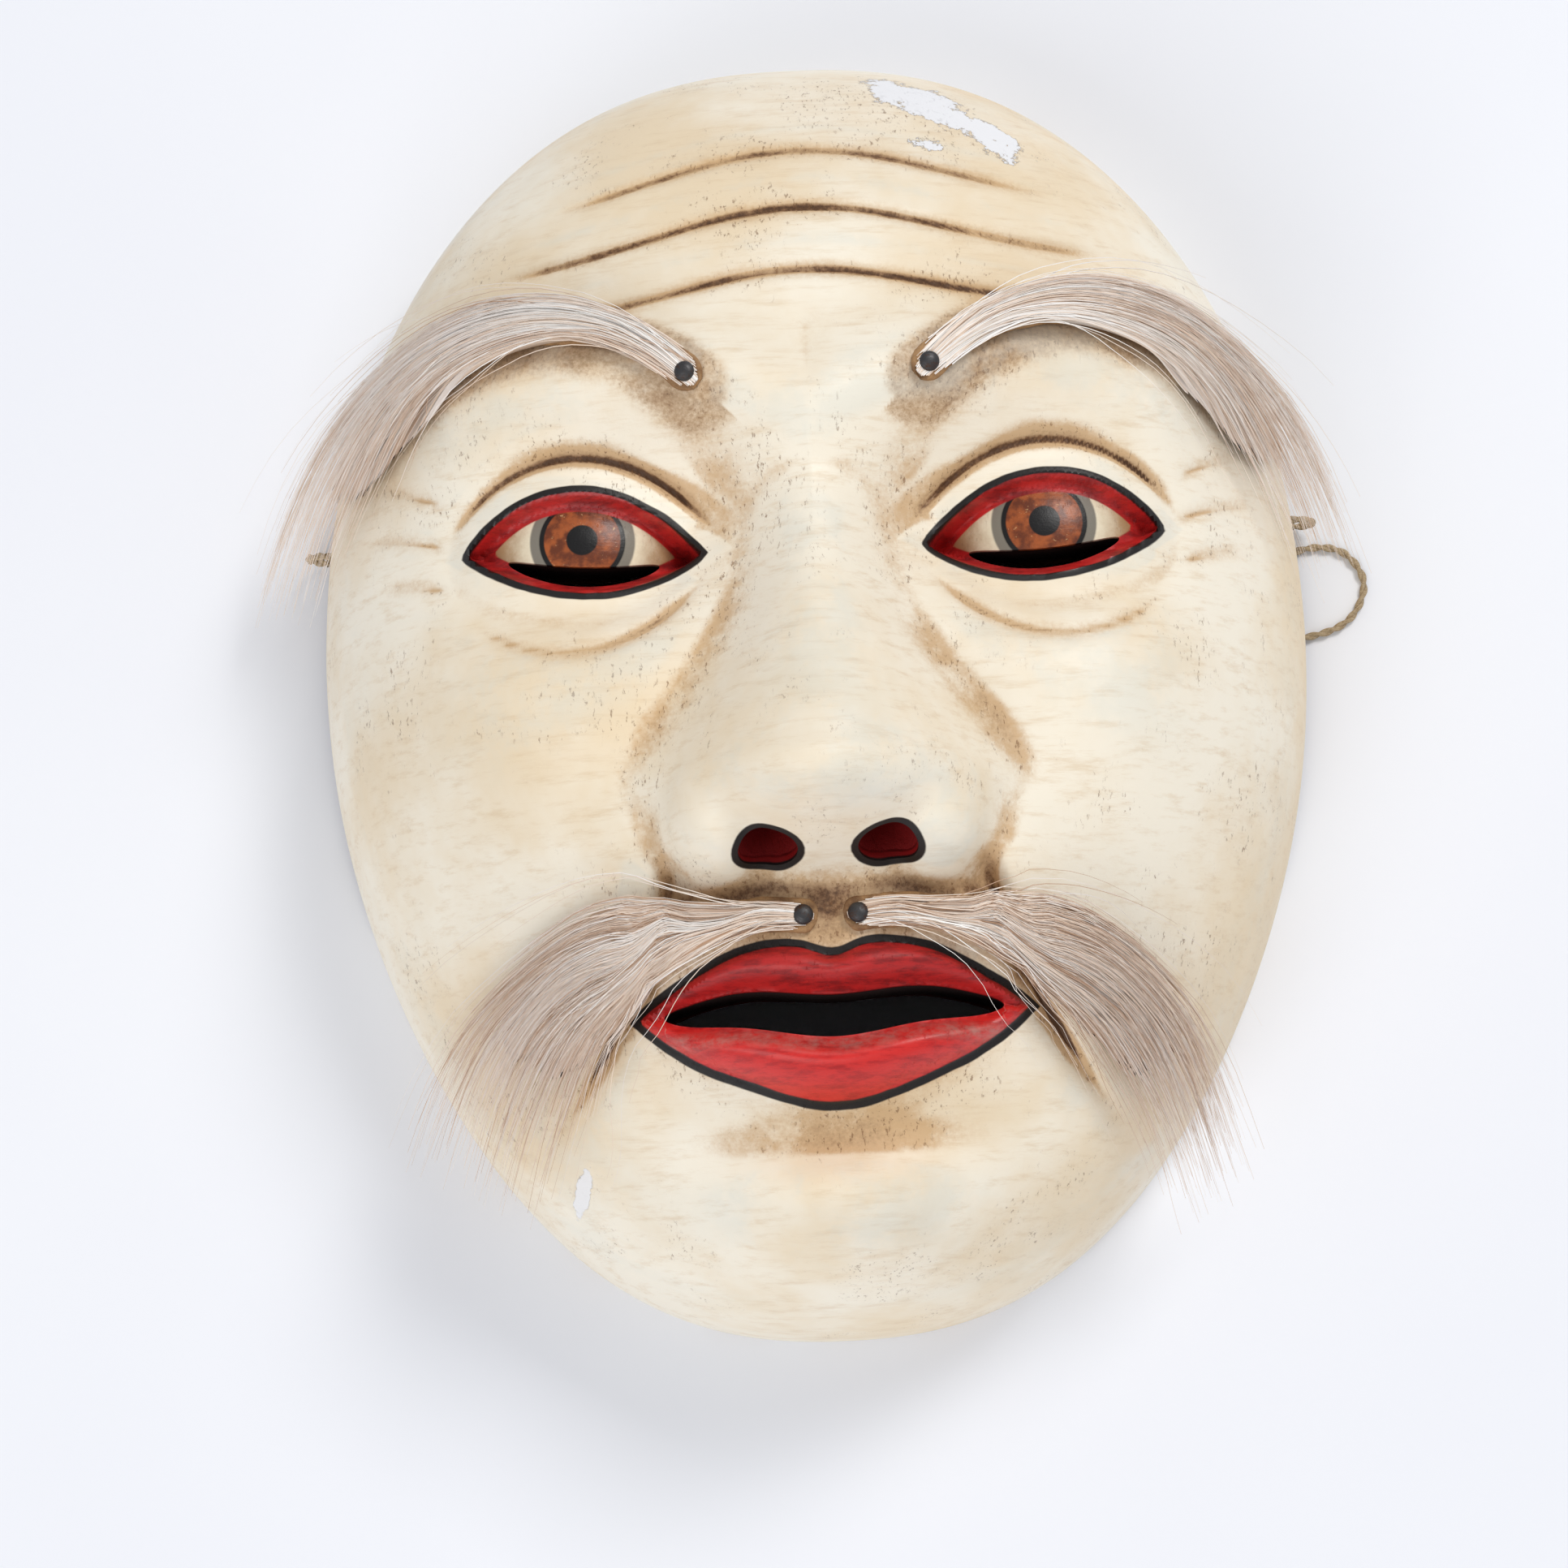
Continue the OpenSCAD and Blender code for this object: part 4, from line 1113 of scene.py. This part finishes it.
route = smooth_line(ROUTE, 0.3)
cord = sweep_twine("tie_twine", route, CORD_D / 2)
dress(cord, twine)
for side, label in ((-1, "left"), (1, "right")):
    knot = make_knot(side, "tie_knot_" + label)
    dress(knot, twine)
    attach(knot, "root")
    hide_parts("cord_knot_" + label)
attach(cord, "root")
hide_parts("hanging_cord")

shell = make_shell()
mark_shell(shell)
dress(shell, wood)
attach(shell, "root")
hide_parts("mask_shell")

for side, label in ((-1, "left"), (1, "right")):
    brow_flow = Tuft(BROW_LINE, side, 13.5, 4.2, BROW_HIDE_END, 3.2, -0.8 * side, 0.22, 11 + side)
    brow = make_tuft("brow_tuft_" + label, "brow_hair_" + label, brow_flow, BROW_HAIRS, (0.72, 1.04))
    if side < 0:
        width, spread, ends = 18, 7.0, (0.66, 1.0)
    else:
        width, spread, ends = 14.5, 2.5, (0.72, 1.06)
    lip_flow = Tuft(MOUSTACHE_LINE, side, width, 4.6, LIP_HIDE_END, spread, -1.0, 0.42, 31 + side)
    lip_hair = make_tuft("moustache_tuft_" + label, "moustache_hair_" + label, lip_flow, LIP_HAIRS, ends)
    brow_strip = make_hide("brow_strip_" + label, "brow_hide_" + label, BROW_LINE, side,
                           BROW_HIDE_END, 51 + side)
    lip_strip = make_hide("moustache_strip_" + label, "moustache_hide_" + label, MOUSTACHE_LINE, side,
                          LIP_HIDE_END, 71 + side)
    for obj, material in ((brow, hair), (lip_hair, hair), (brow_strip, hide), (lip_strip, hide)):
        dress(obj, material)

iron = tack_iron()
for name in ("brow_tack_left", "brow_tack_right", "moustache_tack_left", "moustache_tack_right"):
    dress(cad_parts[name], iron)

# ---- floor and light


def make_floor():
    size = 3.0 / MM
    corners = [(-size, -size, 0), (size, -size, 0), (size, size, 0), (-size, size, 0)]
    floor = add_mesh("floor", corners, np.array([[0, 1, 2, 3]]))
    dress(floor, floor_white())


def softbox(name, place, aim, size, watts, colour):
    data = bpy.data.lights.new(name, "AREA")
    data.shape, data.size, data.energy, data.color = "SQUARE", size, watts, colour
    lamp = add_to_scene(name, data)
    lamp.location = place
    lamp.rotation_euler = (Vector(aim) - Vector(place)).to_track_quat("-Z", "Y").to_euler()


make_floor()
middle = (0, 0, 0.03)
softbox("key", (0.55, 0.75, 1.15), middle, 0.5, 9.6, (1.0, 0.98, 0.95))
softbox("fill", (-0.5, -0.95, 0.95), middle, 1.0, 8.0, (1.0, 0.99, 0.98))
world = bpy.data.worlds.new("studio")
world.use_nodes = True
world.node_tree.nodes["Background"].inputs[0].default_value = srgb(241, 244, 250)
world.node_tree.nodes["Background"].inputs[1].default_value = 0.50
bpy.context.scene.world = world
bpy.context.scene.view_settings.view_transform = "Standard"
